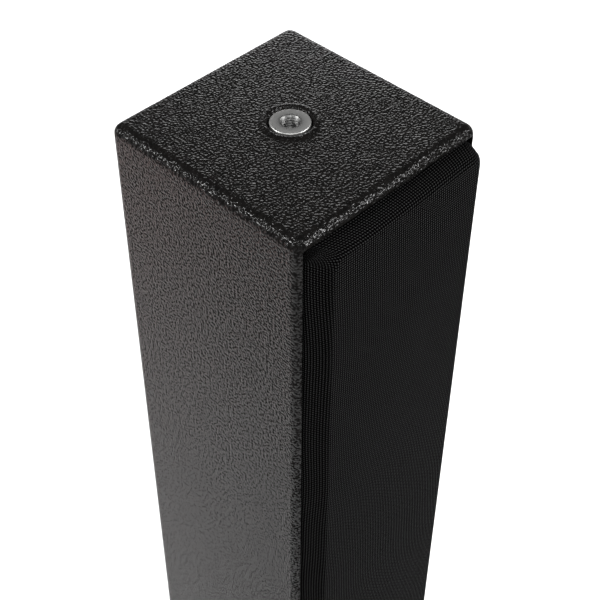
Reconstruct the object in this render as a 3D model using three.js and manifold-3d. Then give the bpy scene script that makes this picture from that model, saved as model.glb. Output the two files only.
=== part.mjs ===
// A compact column PA system: a slim column loudspeaker docked on a bass cabinet that holds the amplifier.
// Millimetres, +Z up, the front faces -Y. The origin is the centre of the footprint, on the floor.
import * as THREE from "three";
import { RoundedBoxGeometry } from "three/addons/geometries/RoundedBoxGeometry.js";
import { mergeVertices } from "three/addons/utils/BufferGeometryUtils.js";
import Module from "manifold-3d";

// Driving dimensions: the column
const columnWidth = 100;
const columnDepth = 102.6;
const columnHeight = 820;
const columnWall = 9; // side, back and baffle boards
const columnEnd = 12; // top and bottom boards
const driverPitch = 84;
const driverCount = 6;

// Driving dimensions: the bass cabinet
const subWidth = 320;
const subDepth = 370;
const subHeight = 430;
const subWall = 15;
const footHeight = 12;
const dockPlate = 3; // flange that the column stands on

// Cabinet edges and grilles, alike on both cabinets
const edgeRadius = 3.6;
const edgeSteps = 3;
const sideLip = 2.6; // board left beside the grille rabbet
const topLip = 4.2; // board left above and below it
const rabbetDepth = 10;
const grilleProud = 8.8; // how far a grille stands out of its cabinet
const grilleGap = 0.8; // air between cloth and lip
const grilleSlope = 4.2; // how far a grille's long sides lean in
const grilleRadius = 3; // rounding of its front edges
const grilleCorner = 5; // rounding of its corners, seen from the front
const clothSkin = 0.7;
const clothGap = 0.3; // air that touching skins keep
const pegRadius = 2.8;
const pegSides = 8;
const fit = 0.5; // clearance of a piece in its hole
const touch = 0.3; // clearance between two pieces that rest on each other

// Levels and planes that follow from them
const subTop = footHeight + subHeight;
const columnBase = subTop + dockPlate;
const panelThick = 2;
const knobHeight = 14;
const halfDepth = (subDepth + grilleProud + panelThick + knobHeight) / 2;
const subFront = -halfDepth + grilleProud;
const subBack = subFront + subDepth;
const columnFront = -columnDepth / 2;
const columnBack = columnDepth / 2;
const flangeRoom = 6; // space in front of a baffle for the drivers' flanges

const wasm = await Module();
wasm.setup();

const materials = {
  paint: new THREE.MeshStandardMaterial({ color: 0x1c1b1a, roughness: 0.55, metalness: 0 }),
  baffle: new THREE.MeshStandardMaterial({ color: 0x141414, roughness: 0.8, metalness: 0 }),
  steel: new THREE.MeshStandardMaterial({ color: 0xa9a9a7, roughness: 0.35, metalness: 1 }),
  cloth: new THREE.MeshStandardMaterial({ color: 0x121212, roughness: 0.95, metalness: 0 }),
  grilleFrame: new THREE.MeshStandardMaterial({ color: 0x1a1a1a, roughness: 0.7, metalness: 0 }),
  basket: new THREE.MeshStandardMaterial({ color: 0x202020, roughness: 0.5, metalness: 0.6 }),
  cone: new THREE.MeshStandardMaterial({ color: 0x17181a, roughness: 0.75, metalness: 0 }),
  magnet: new THREE.MeshStandardMaterial({ color: 0x2b2b2d, roughness: 0.6, metalness: 0.3 }),
  plastic: new THREE.MeshStandardMaterial({ color: 0x161616, roughness: 0.5, metalness: 0 }),
  panel: new THREE.MeshStandardMaterial({ color: 0x1a1b1c, roughness: 0.45, metalness: 0.4 }),
  board: new THREE.MeshStandardMaterial({ color: 0x1f4a2c, roughness: 0.6, metalness: 0 }),
  aluminium: new THREE.MeshStandardMaterial({ color: 0xb4b6b8, roughness: 0.45, metalness: 1 }),
  rubber: new THREE.MeshStandardMaterial({ color: 0x0f0f0f, roughness: 0.9, metalness: 0 }),
};

// A closed geometry as a solid for joins and cuts.
function solid(geometry) {
  const loose = geometry.index ? geometry.toNonIndexed() : geometry;
  const bare = new THREE.BufferGeometry().setAttribute("position", loose.getAttribute("position"));
  const merged = mergeVertices(bare, 1e-4);
  return new wasm.Manifold(
    new wasm.Mesh({
      numProp: 3,
      vertProperties: merged.attributes.position.array,
      triVerts: new Uint32Array(merged.index.array),
    }),
  );
}

// A solid's surface as a geometry that a mesh can hold.
function surface(shape) {
  const mesh = shape.getMesh();
  const points = new Float32Array(mesh.numVert * 3);
  for (let i = 0; i < mesh.numVert; i++) {
    points.set(mesh.vertProperties.subarray(i * mesh.numProp, i * mesh.numProp + 3), i * 3);
  }
  const geometry = new THREE.BufferGeometry();
  geometry.setAttribute("position", new THREE.BufferAttribute(points, 3));
  geometry.setIndex(new THREE.BufferAttribute(mesh.triVerts, 1));
  geometry.computeVertexNormals();
  return geometry;
}

function addPart(group, name, shape, material) {
  const mesh = new THREE.Mesh(surface(shape), material);
  mesh.name = name;
  group.add(mesh);
  return mesh;
}

// A box between two opposite corners.
function box([x0, y0, z0], [x1, y1, z1]) {
  const geometry = new THREE.BoxGeometry(x1 - x0, y1 - y0, z1 - z0);
  return solid(geometry.translate((x0 + x1) / 2, (y0 + y1) / 2, (z0 + z1) / 2));
}

// A box with rounded edges, between two opposite corners.
function roundedBox([x0, y0, z0], [x1, y1, z1], radius, steps = edgeSteps) {
  const geometry = new RoundedBoxGeometry(x1 - x0, y1 - y0, z1 - z0, steps, radius);
  return solid(geometry.translate((x0 + x1) / 2, (y0 + y1) / 2, (z0 + z1) / 2));
}

// A profile of [radius, y] pairs turned about the Y axis: front side first, then the back.
function turned(profile, sides) {
  const points = profile.map(([radius, y]) => new THREE.Vector2(radius, y));
  return solid(new THREE.LatheGeometry(points, sides));
}

// A box whose height is given, centred on the Z axis.
const slab = (halfX, halfY, z0, z1) => box([-halfX, -halfY, z0], [halfX, halfY, z1]);

// A round bar or cutter along Y.
function barY(radius, y0, y1, x = 0, z = 0, sides = 20) {
  const geometry = new THREE.CylinderGeometry(radius, radius, y1 - y0, sides);
  return solid(geometry.translate(x, (y0 + y1) / 2, z));
}

// A round bar or cutter along Z.
function barZ(radius, z0, z1, x = 0, y = 0, sides = 24) {
  const geometry = new THREE.CylinderGeometry(radius, radius, z1 - z0, sides);
  return solid(geometry.rotateX(Math.PI / 2).translate(x, y, (z0 + z1) / 2));
}

// The five outer boards of a cabinet share one rounded outline, and a rabbet round the open front.
function cabinetBoards({ width, front, back, bottom, top, wall, end }) {
  const half = width / 2;
  const outline = roundedBox([-half, front, bottom], [half, back, top], edgeRadius);
  const rabbet = box(
    [-half + sideLip, front - 1, bottom + topLip],
    [half - sideLip, front + rabbetDepth, top - topLip],
  );
  const cut = (low, high) => outline.intersect(box(low, high)).subtract(rabbet);
  return {
    left: cut([-half, front, bottom + end], [-half + wall, back, top - end]),
    right: cut([half - wall, front, bottom + end], [half, back, top - end]),
    back: cut([-half + wall, back - wall, bottom + end], [half - wall, back, top - end]),
    bottom: cut([-half, front, bottom], [half, back, bottom + end]),
    top: cut([-half, front, top - end], [half, back, top]),
  };
}

// A solid through a row of rectangles with rounded corners, from the back to the front.
function lofted(sections) {
  const perCorner = 4;
  const ring = ({ y, halfX, low, high, radius }) =>
    [[1, 1], [-1, 1], [-1, -1], [1, -1]].flatMap(([sx, sz], corner) =>
      Array.from({ length: perCorner }, (_, i) => {
        const angle = (Math.PI / 2) * (corner + i / (perCorner - 1));
        const x = sx * (halfX - radius) + radius * Math.cos(angle);
        const z = (sz > 0 ? high - radius : low + radius) + radius * Math.sin(angle);
        return [x, y, z];
      }),
    );
  const count = 4 * perCorner;
  const points = sections.flatMap(ring);
  const faces = [];
  for (let s = 0; s < sections.length - 1; s++) {
    for (let i = 0; i < count; i++) {
      const [a, b] = [s * count + i, s * count + ((i + 1) % count)];
      faces.push([a, b, b + count], [a, b + count, a + count]);
    }
  }
  const last = (sections.length - 1) * count;
  for (let i = 1; i < count - 1; i++) faces.push([0, i + 1, i], [last, last + i, last + i + 1]);
  const geometry = new THREE.BufferGeometry();
  geometry.setAttribute("position", new THREE.Float32BufferAttribute(points.flat(), 3));
  geometry.setIndex(faces.flat());
  return solid(geometry);
}

// A grille: a ring frame with leaning sides, cross bars and pegs, and the cloth stretched over it.
function grille({ width, front, bottom, top, rim, barsAt, pegX, pegsAt, pegEnd }) {
  const back = front + rabbetDepth - touch;
  const side = width / 2 - sideLip - grilleGap;
  const shell = (inset) => {
    const section = (y, leanX, leanZ) => ({
      y,
      halfX: side - inset - leanX,
      low: bottom + topLip + grilleGap + inset + leanZ,
      high: top - topLip - grilleGap - inset - leanZ,
      radius: grilleCorner - inset,
    });
    const face = front - grilleProud + inset;
    const shoulder = face + grilleRadius;
    const slopeAt = (y) => (grilleSlope * (front - y)) / grilleProud;
    const rounding = [0, 30, 60, 90].map((degrees) => {
      const angle = THREE.MathUtils.degToRad(degrees);
      const drop = grilleRadius * Math.sin(angle);
      const lean = grilleRadius * (1 - Math.cos(angle));
      return section(shoulder - drop, slopeAt(shoulder - drop) + lean * 0.7, lean);
    });
    const sections = [section(back, 0, 0), section(front, 0, 0), ...rounding];
    return { half: side - inset, face, sections };
  };
  const outer = shell(0);
  const inner = shell(clothSkin);
  const core = shell(clothSkin + clothGap);
  inner.sections[0].y = back + 5;
  const cloth = lofted(outer.sections).subtract(lofted(inner.sections));

  const low = bottom + topLip + grilleGap + rim;
  const high = top - topLip - grilleGap - rim;
  const edges = [low, ...barsAt.flatMap((z) => [z - rim / 2, z + rim / 2]), high];
  let frame = lofted(core.sections);
  for (let i = 0; i < edges.length; i += 2) {
    frame = frame.subtract(
      box([-core.half + rim, core.face - 1, edges[i]], [core.half - rim, back + 1, edges[i + 1]]),
    );
  }
  for (const z of pegsAt) {
    for (const x of [-pegX, pegX]) frame = frame.add(barY(pegRadius, back - 4, pegEnd, x, z, pegSides));
  }
  return { cloth, frame };
}

// ---- The column ----
const column = new THREE.Group();
column.position.z = columnBase;

const columnBoards = cabinetBoards({
  width: columnWidth,
  front: columnFront,
  back: columnBack,
  bottom: 0,
  top: columnHeight,
  wall: columnWall,
  end: columnEnd,
});
addPart(column, "column_left_panel", columnBoards.left, materials.paint);
addPart(column, "column_right_panel", columnBoards.right, materials.paint);
addPart(column, "column_back_panel", columnBoards.back, materials.paint);

// Steel M8 insert in the top board
const insertRadius = 8.2;
const insertBore = 3.4; // tapping size of the M8 thread
const insertLength = 24;
const insertY = 2;
const insertProud = 0.2;
const insertSides = 20;
const insertRoom = 0.6; // air round the insert in its hole
const insertFlange = 3; // how far its flange reaches under the board
const insertFlangeThick = 2.5;
const insertHoleRadius = insertRadius + insertRoom;
const insertHole = barZ(insertHoleRadius, columnHeight - 40, columnHeight + 5, 0, insertY, insertSides);
addPart(column, "column_top_panel", columnBoards.top.subtract(insertHole), materials.paint);

function threadedInsert() {
  const chamfer = 0.6;
  const mouth = insertBore + 0.75;
  const shank = insertRadius - 1;
  // y runs down into the board here; the piece is then turned upright
  const flangeY = columnEnd + touch;
  const profile = [
    [mouth, -insertProud],
    [insertRadius - chamfer, -insertProud],
    [insertRadius, chamfer - insertProud],
    [insertRadius, flangeY],
    [insertRadius + insertFlange, flangeY],
    [insertRadius + insertFlange, flangeY + insertFlangeThick],
    [shank, flangeY + insertFlangeThick],
    [shank, insertLength],
    [insertBore, insertLength],
    [insertBore, mouth - insertBore],
    [mouth, -insertProud],
  ];
  const points = profile.map(([radius, y]) => new THREE.Vector2(radius, y));
  const geometry = new THREE.LatheGeometry(points, insertSides);
  return solid(geometry.rotateX(-Math.PI / 2).translate(0, insertY, columnHeight));
}
addPart(column, "column_top_insert", threadedInsert(), materials.steel);

// Dock: a plug under the column that drops into a socket in the bass cabinet
const plugHalfX = 30;
const plugHalfY = 20;
const plugDrop = 48; // below the column
const plugRise = 20; // above the column's underside
const plugFlange = 5; // how far its flange reaches over the bottom board
const plugFlangeThick = 3.7;
const contactXs = [-15, -5, 5, 15];
const contactBay = { halfX: 20, halfY: 8, depth: 12 };
const contactBlade = { halfX: 1.5, halfY: 4, inset: 2 };
const plugHole = slab(plugHalfX + fit, plugHalfY + fit, -1, columnEnd + 1);
addPart(column, "column_bottom_panel", columnBoards.bottom.subtract(plugHole), materials.paint);

function dockPlug() {
  const block = roundedBox(
    [-plugHalfX, -plugHalfY, -plugDrop],
    [plugHalfX, plugHalfY, plugRise + 10],
    3,
    1,
  );
  const shank = block.subtract(slab(columnWidth, columnWidth, plugRise, plugRise + 20));
  const flangeLow = columnEnd + touch;
  const [flangeX, flangeY] = [plugHalfX + plugFlange, plugHalfY + plugFlange];
  const flange = slab(flangeX, flangeY, flangeLow, flangeLow + plugFlangeThick);
  const bayTop = -plugDrop + contactBay.depth;
  const bay = slab(contactBay.halfX, contactBay.halfY, -plugDrop - 1, bayTop);
  let plug = shank.add(flange).subtract(bay);
  const { halfX, halfY, inset } = contactBlade;
  for (const x of contactXs) {
    plug = plug.add(box([x - halfX, -halfY, -plugDrop + inset], [x + halfX, halfY, bayTop + 1]));
  }
  return plug;
}
addPart(column, "column_dock_plug", dockPlug(), materials.plastic);

// Baffle, with holes for the drivers, the horn and the grille pegs
const baffleFront = columnFront + rabbetDepth + flangeRoom;
const hornSides = 16;
const hornPitch = 92; // from the horn's centre to each neighbouring driver
const topDriverDrop = 64; // from the column's top to the first driver's centre
const hornZ = columnHeight - topDriverDrop - hornPitch - (driverCount / 2 - 1) * driverPitch;
const hornHole = 33;
const driverHeights = Array.from({ length: driverCount }, (_, i) => {
  const above = i < driverCount / 2;
  const step = above ? driverCount / 2 - 1 - i : i - driverCount / 2;
  return hornZ + (above ? 1 : -1) * (hornPitch + step * driverPitch);
});
const driverHole = 35;
const driverSides = 12;
const columnPegs = [
  driverHeights[0] - driverPitch / 2,
  driverHeights[driverCount - 1] + driverPitch / 2,
];
const pegX = 36;

function columnBaffle() {
  const half = columnWidth / 2 - columnWall;
  const back = baffleFront + columnWall;
  let board = box([-half, baffleFront, columnEnd], [half, back, columnHeight - columnEnd]);
  const cutHole = (radius, z, sides) => {
    board = board.subtract(barY(radius, baffleFront - 1, back + 1, 0, z, sides));
  };
  for (const z of driverHeights) cutHole(driverHole, z, driverSides);
  cutHole(hornHole, hornZ, hornSides);
  for (const z of columnPegs) {
    for (const x of [-pegX, pegX]) {
      board = board.subtract(barY(pegRadius + fit, baffleFront - 1, back + 1, x, z, pegSides));
    }
  }
  return board;
}
addPart(column, "column_baffle", columnBaffle(), materials.baffle);

// A 3 inch driver. Local y is 0 on the baffle and grows towards the back.
const driverFrameProfile = [
  [33, -3.5],
  [39, -3.5],
  [39, -touch],
  [34.5, -touch],
  [34.5, 5],
  [23, 22.5],
  [12, 22.5],
  [12, 20.5],
  [21, 20.5],
  [33, 4],
  [33, -3.5],
];
const driverConeProfile = [
  [0, 8.5],
  [10, 12.6],
  [28, -0.2],
  [30.2, -2.7],
  [32.4, -0.2],
  [32.4, 0.6],
  [28, 0.9],
  [10.6, 13.9],
  [10.6, 30],
  [9.8, 30],
  [9.8, 14],
  [0, 9.5],
];
const driverMagnetProfile = [
  [0, 22.8],
  [9.2, 22.8],
  [9.2, 36],
  [11.2, 36],
  [11.2, 22.8],
  [27, 22.8],
  [27, 38],
  [25, 40],
  [0, 40],
];

// Four windows through a basket's sloping wall.
const windowInset = 8; // how near to the axis the windows' cutters come
function withWindows(basket, { ringRadius, from, to, width }) {
  let shape = basket;
  for (let i = 0; i < 4; i++) {
    const slot = new THREE.BoxGeometry(width, to - from, ringRadius);
    slot.translate(0, (from + to) / 2, ringRadius / 2 + windowInset);
    shape = shape.subtract(solid(slot.rotateY((i * Math.PI) / 2)));
  }
  return shape;
}

const driverWindow = { ringRadius: 60, from: 10.5, to: 18.5, width: 14 };

driverHeights.forEach((z, i) => {
  const driver = new THREE.Group();
  driver.position.set(0, baffleFront, z);
  const frame = withWindows(turned(driverFrameProfile, driverSides), driverWindow);
  addPart(driver, `driver_${i + 1}_frame`, frame, materials.basket);
  addPart(driver, `driver_${i + 1}_cone`, turned(driverConeProfile, driverSides), materials.cone);
  addPart(driver, `driver_${i + 1}_magnet`, turned(driverMagnetProfile, driverSides), materials.magnet);
  column.add(driver);
});

// Horn tweeter between the upper and the lower drivers
const tweeter = new THREE.Group();
tweeter.position.set(0, baffleFront, hornZ);
const hornHalfX = 38.5;
const hornHalfZ = 40;
const hornProud = 3.5;
const hornMouth = 31;
const hornThroat = 7;
const hornDepth = 26;
const hornWall = 1.6;

function hornFlare() {
  const steps = 4;
  const inside = Array.from({ length: steps + 1 }, (_, i) => {
    const t = i / steps;
    const radius = hornMouth + (hornThroat - hornMouth) * Math.sin((t * Math.PI) / 2);
    return [radius, -hornProud + t * (hornDepth + hornProud)];
  });
  const outside = inside.map(([radius, y]) => [Math.min(radius + hornWall, hornHole - fit), y]);
  const start = [hornMouth + hornWall - 0.1, -hornProud];
  return turned([start, ...outside.slice(1), ...inside.reverse(), start], hornSides);
}

function tweeterHorn() {
  const plate = roundedBox([-hornHalfX, -hornProud, -hornHalfZ], [hornHalfX, 8, hornHalfZ], 3, 1);
  const flange = plate.intersect(box([-50, -5, -50], [50, -touch, 50]));
  const mouth = barY(hornMouth + hornWall / 2, -6, 1, 0, 0, hornSides);
  return flange.subtract(mouth).add(hornFlare());
}
addPart(tweeter, "tweeter_horn", tweeterHorn(), materials.plastic);

const tweeterMotorProfile = [
  [hornThroat, hornDepth + touch],
  [16, hornDepth + touch],
  [25, hornDepth + 6],
  [25, hornDepth + 30],
  [22, hornDepth + 33],
  [0, hornDepth + 33],
  [0, hornDepth + 12],
  [hornThroat, hornDepth + 8],
  [hornThroat, hornDepth + touch],
];
addPart(tweeter, "tweeter_motor", turned(tweeterMotorProfile, hornSides), materials.magnet);
column.add(tweeter);

// Crossover board on the inside of the back board, below the lowest driver
const boardThick = 1.6;
const solderDepth = 0.5; // how far a component's foot goes into its board
const crossoverHalf = 32;
const crossoverLow = 30;
const crossoverHigh = 150;
const crossoverPost = { x: 26, inset: 8, length: 8 };
const crossoverCoils = [
  { x: 0, z: 58, radius: 14, height: 16 },
  { x: -14, z: 96, radius: 10, height: 14 },
];
const crossoverBlocks = [
  { x: [4, 26], z: [84, 98], height: 12 }, // film capacitor
  { x: [4, 26], z: [104, 116], height: 10 }, // film capacitor
  { x: [-26, 10], z: [124, 132], height: 8 }, // resistor
];

function crossover() {
  const back = columnBack - columnWall - touch;
  const face = back - crossoverPost.length;
  const foot = face + solderDepth;
  let board = box(
    [-crossoverHalf, face, crossoverLow],
    [crossoverHalf, face + boardThick, crossoverHigh],
  );
  for (const x of [-crossoverPost.x, crossoverPost.x]) {
    for (const z of [crossoverLow + crossoverPost.inset, crossoverHigh - crossoverPost.inset]) {
      board = board.add(barY(3, face, back, x, z, 10));
    }
  }
  for (const { x, z, radius, height } of crossoverCoils) {
    board = board.add(barY(radius, face - height, foot, x, z, 16));
  }
  for (const { x, z, height } of crossoverBlocks) {
    board = board.add(box([x[0], face - height, z[0]], [x[1], foot, z[1]]));
  }
  return board;
}
addPart(column, "column_crossover_board", crossover(), materials.board);

const columnGrille = grille({
  width: columnWidth,
  front: columnFront,
  bottom: 0,
  top: columnHeight,
  rim: 11,
  barsAt: columnPegs,
  pegX,
  pegsAt: columnPegs,
  pegEnd: baffleFront + columnWall - 1,
});
addPart(column, "column_grille_frame", columnGrille.frame, materials.grilleFrame);
addPart(column, "column_grille_cloth", columnGrille.cloth, materials.cloth);

// ---- The bass cabinet ----
const sub = new THREE.Group();
const subHalf = subWidth / 2;
const subBoards = cabinetBoards({
  width: subWidth,
  front: subFront,
  back: subBack,
  bottom: footHeight,
  top: subTop,
  wall: subWall,
  end: subWall,
});

// Recessed handle cups in both sides
const cupHalfY = 62;
const cupHalfZ = 36;
const cupDepth = 44;
const cupZ = subTop - 120;
const cupFlange = 3;
const cupWall = 3;
const cupRim = 12; // how far the flange reaches round the opening
const cupHole = box(
  [-subHalf - 5, -cupHalfY - fit, cupZ - cupHalfZ - fit],
  [subHalf + 5, cupHalfY + fit, cupZ + cupHalfZ + fit],
);
addPart(sub, "sub_left_panel", subBoards.left.subtract(cupHole), materials.paint);
addPart(sub, "sub_right_panel", subBoards.right.subtract(cupHole), materials.paint);
addPart(sub, "sub_bottom_panel", subBoards.bottom, materials.paint);

function handleCup() {
  const near = subHalf + touch;
  const deep = subHalf - cupDepth;
  const [flangeY, flangeZ] = [cupHalfY + cupRim, cupHalfZ + cupRim];
  const plate = roundedBox([near - 20, -flangeY, -flangeZ], [near + cupFlange, flangeY, flangeZ], 2.5, 1);
  const flange = plate.intersect(box([near, -subDepth, -subHeight], [near + 50, subDepth, subHeight]));
  const body = box([deep, -cupHalfY, -cupHalfZ], [near + 1, cupHalfY, cupHalfZ]);
  const hollow = roundedBox(
    [deep + cupWall, -cupHalfY + cupWall, -cupHalfZ + cupWall],
    [near + 40, cupHalfY - cupWall, cupHalfZ - cupWall],
    8,
    2,
  );
  return body.add(flange).subtract(hollow);
}
for (const [name, turn] of [["left_handle_cup", Math.PI], ["right_handle_cup", 0]]) {
  const holder = new THREE.Group();
  holder.position.z = cupZ;
  holder.rotation.z = turn;
  addPart(holder, name, handleCup(), materials.plastic);
  sub.add(holder);
}

// Dock socket in the top board
const wellWall = 3;
const wellHalfX = plugHalfX + 1;
const wellHalfY = plugHalfY + 1;
const wellDepth = 55;
const dockHalfX = 60;
const dockHalfY = 61;
const tongue = { halfX: 18, halfY: 3, height: 4 };
const wellOutX = wellHalfX + wellWall;
const wellOutY = wellHalfY + wellWall;
const wellHole = slab(wellOutX + fit, wellOutY + fit, subTop - wellDepth, subTop + 5);
addPart(sub, "sub_top_panel", subBoards.top.subtract(wellHole), materials.paint);

function dockSocket() {
  const low = columnBase - wellDepth;
  const high = columnBase - touch;
  const plate = roundedBox([-dockHalfX, -dockHalfY, subTop - 20], [dockHalfX, dockHalfY, high], 2, 1);
  const flange = plate.intersect(slab(dockHalfX + 5, dockHalfY + 5, subTop + touch, columnBase));
  return flange
    .add(slab(wellOutX, wellOutY, low - wellWall, high - 1))
    .subtract(slab(wellHalfX, wellHalfY, low, columnBase + 5))
    .add(slab(tongue.halfX, tongue.halfY, low - 1, low + tongue.height));
}
addPart(sub, "sub_dock_socket", dockSocket(), materials.plastic);

// Baffle with the woofer and the reflex port
const subBaffleFront = subFront + rabbetDepth + flangeRoom + 1;
const subBaffleBack = subBaffleFront + subWall;
const wooferZ = subTop - 154;
const wooferHole = 118;
const portZ = footHeight + 75;
const portRadius = 40;
const portWall = 2.5;
const portSides = 16;
const wooferSides = 20;
const subPegsAt = [footHeight + 45, subTop - 30];
const subPegX = subHalf - subWall - 6;

function subBaffle() {
  const half = subHalf - subWall;
  const [low, high] = [footHeight + subWall, subTop - subWall];
  const hole = (radius, x, z, sides) => barY(radius, subBaffleFront - 1, subBaffleBack + 1, x, z, sides);
  let board = box([-half, subBaffleFront, low], [half, subBaffleBack, high]);
  board = board.subtract(hole(wooferHole, 0, wooferZ, wooferSides));
  board = board.subtract(hole(portRadius + portWall + fit, 0, portZ, portSides));
  for (const z of subPegsAt) {
    for (const x of [-subPegX, subPegX]) {
      board = board.subtract(hole(pegRadius + fit, x, z, pegSides));
    }
  }
  return board;
}
addPart(sub, "sub_baffle", subBaffle(), materials.baffle);

const portLength = 118;
const portFlange = 10;
const portProud = 2.5;
const portProfile = [
  [portRadius + portFlange, -portProud],
  [portRadius + portFlange, -touch],
  [portRadius + portWall, -touch],
  [portRadius + portWall, portLength],
  [portRadius, portLength],
  [portRadius, 6],
  [portRadius + 2.2, -0.5],
  [portRadius + 6, -portProud],
  [portRadius + portFlange, -portProud],
];
const port = new THREE.Group();
port.position.set(0, subBaffleFront, portZ);
addPart(port, "sub_port_tube", turned(portProfile, portSides), materials.plastic);
sub.add(port);

// A 10 inch woofer, in the same local frame as the small drivers
const wooferFrameProfile = [
  [115, -5],
  [130, -5],
  [130, -touch],
  [117, -touch],
  [117, 14],
  [72, 82],
  [38, 82],
  [38, 78],
  [69, 78],
  [113, 12],
  [113, -2],
  [115, -2],
  [115, -5],
];
const wooferConeProfile = [
  [0, 34],
  [20, 36.5],
  [38, 44],
  [98, 2],
  [105, -4.5],
  [112, 2],
  [112, 3.5],
  [98, 4],
  [34, 49],
  [34, 104],
  [32.6, 104],
  [32.6, 47.5],
  [0, 36],
];
const wooferMagnetProfile = [
  [0, 82.5],
  [31.4, 82.5],
  [31.4, 114],
  [35.4, 114],
  [35.4, 92],
  [42, 92],
  [42, 82.5],
  [70, 82.5],
  [70, 118],
  [64, 126],
  [0, 126],
];
const woofer = new THREE.Group();
woofer.position.set(0, subBaffleFront, wooferZ);
const wooferWindow = { ringRadius: 160, from: 40, to: 70, width: 44 };
const wooferFrame = withWindows(turned(wooferFrameProfile, wooferSides), wooferWindow);
addPart(woofer, "woofer_frame", wooferFrame, materials.basket);
addPart(woofer, "woofer_cone", turned(wooferConeProfile, wooferSides), materials.cone);
addPart(woofer, "woofer_magnet", turned(wooferMagnetProfile, wooferSides), materials.magnet);
sub.add(woofer);

const subGrille = grille({
  width: subWidth,
  front: subFront,
  bottom: footHeight,
  top: subTop,
  rim: 15,
  barsAt: [],
  pegX: subPegX,
  pegsAt: subPegsAt,
  pegEnd: subBaffleBack - 2,
});
addPart(sub, "sub_grille_frame", subGrille.frame, materials.grilleFrame);
addPart(sub, "sub_grille_cloth", subGrille.cloth, materials.cloth);

// Amplifier plate on the back, with its sockets, switch and knobs
const plateHalf = 115;
const plateLow = footHeight + 60;
const plateHigh = plateLow + 250;
const plateBack = subBack + panelThick;
const plateRim = 15; // how far the plate reaches round its hole in the back board
const moduleHalf = plateHalf - plateRim;
const moduleLow = plateLow + plateRim;
const moduleHigh = plateHigh - plateRim;
const moduleHole = box([-moduleHalf, subBack - 20, moduleLow], [moduleHalf, subBack + 5, moduleHigh]);
addPart(sub, "sub_back_panel", subBoards.back.subtract(moduleHole), materials.paint);

const controlZ = plateHigh - 62;
const knobXs = [-66, -22, 22];
const socketZ = plateHigh - 120;
const socketXs = [-66, -22];
const inletX = 60;
const inletZ = plateLow + 55;
const socketRadius = 12;
const socketSides = 12;
const inletHalfX = 24;
const inletHalfZ = 14;
const shaftRadius = 3;

function amplifierPlate() {
  const sheet = roundedBox([-plateHalf, subBack - 10, plateLow], [plateHalf, plateBack, plateHigh], 1, 1);
  const [inside, outside] = [subBack - 5, plateBack + 5];
  let plate = sheet.intersect(box([-subHalf, subBack + touch, 0], [subHalf, plateBack, subTop]));
  for (const x of knobXs) {
    plate = plate.subtract(barY(shaftRadius + fit, inside, outside, x, controlZ, 12));
  }
  for (const x of socketXs) {
    plate = plate.subtract(barY(socketRadius + fit, inside, outside, x, socketZ, socketSides));
  }
  const inletHole = box(
    [inletX - inletHalfX - fit, inside, inletZ - inletHalfZ - fit],
    [inletX + inletHalfX + fit, outside, inletZ + inletHalfZ + fit],
  );
  return plate.subtract(inletHole);
}
addPart(sub, "amplifier_plate", amplifierPlate(), materials.panel);

// Finned heatsink on the inside of the plate
const sinkLeft = -moduleHalf + 6;
const sinkRight = 20;
const sinkLow = moduleLow + 6;
const sinkHigh = moduleLow + 70;
const sinkBase = 6;
const sinkDepth = 40;
const finPitch = 14;
const finThick = 3;
const moduleBack = subBack - touch;

function heatsink() {
  let sink = box([sinkLeft, moduleBack - sinkBase, sinkLow], [sinkRight, moduleBack, sinkHigh]);
  for (let x = sinkLeft; x < sinkRight - finThick; x += finPitch) {
    sink = sink.add(box([x, moduleBack - sinkDepth, sinkLow], [x + finThick, moduleBack - 5, sinkHigh]));
  }
  return sink;
}
addPart(sub, "amplifier_heatsink", heatsink(), materials.aluminium);

// The amplifier's board stands on posts: two on the heatsink, two on the plate
const ampBoardY = moduleBack - 46;
const ampBoardRight = moduleHalf - 6;
const ampBoardHigh = moduleHigh - 6;
const ampPosts = [
  { x: sinkLeft + 8, z: sinkLow + 14, end: moduleBack - sinkBase - touch },
  { x: sinkLeft + 8, z: sinkHigh - 12, end: moduleBack - sinkBase - touch },
  { x: ampBoardRight - 8, z: moduleLow + 14, end: moduleBack },
  { x: ampBoardRight - 8, z: ampBoardHigh - 10, end: moduleBack },
];
const ampCans = [
  { x: 50, z: moduleLow + 130, radius: 24, height: 34 }, // toroidal transformer
  { x: -60, z: moduleLow + 110, radius: 11, height: 30 }, // smoothing capacitors
  { x: -34, z: moduleLow + 110, radius: 11, height: 30 },
  { x: -8, z: moduleLow + 110, radius: 11, height: 30 },
];

function amplifierBoard() {
  let board = box(
    [sinkLeft, ampBoardY, moduleLow + 4],
    [ampBoardRight, ampBoardY + boardThick, ampBoardHigh],
  );
  for (const { x, z, end } of ampPosts) board = board.add(barY(4, ampBoardY, end, x, z, 10));
  for (const { x, z, radius, height } of ampCans) {
    board = board.add(barY(radius, ampBoardY - height, ampBoardY + solderDepth, x, z, 16));
  }
  return board;
}
addPart(sub, "amplifier_board", amplifierBoard(), materials.board);

// A knob on a potentiometer shaft; local y is 0 on the plate
function knob() {
  const cap = turned(
    [
      [0, 1],
      [10, 1],
      [10, 3],
      [8, 4.5],
      [7.2, knobHeight - 1],
      [6.2, knobHeight],
      [0, knobHeight],
    ],
    16,
  );
  const shaft = barY(shaftRadius, -14, 2, 0, 0, 10);
  const pointer = box([-0.8, 3, 2], [0.8, knobHeight - 0.3, 9.6]);
  return cap.add(shaft).add(pointer);
}
["input_1_knob", "input_2_knob", "master_knob"].forEach((name, i) => {
  const holder = new THREE.Group();
  holder.position.set(knobXs[i], plateBack, controlZ);
  addPart(holder, name, knob(), materials.plastic);
  sub.add(holder);
});

// Combination sockets for microphone and line plugs; local y is 0 on the plate
const jackRadius = 3.4;
const socketBack = -24;
const socketCore = 7.8; // round core that a microphone plug's shell slides over
const socketGroove = 9.7;
const grooveFloor = -15;

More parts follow.
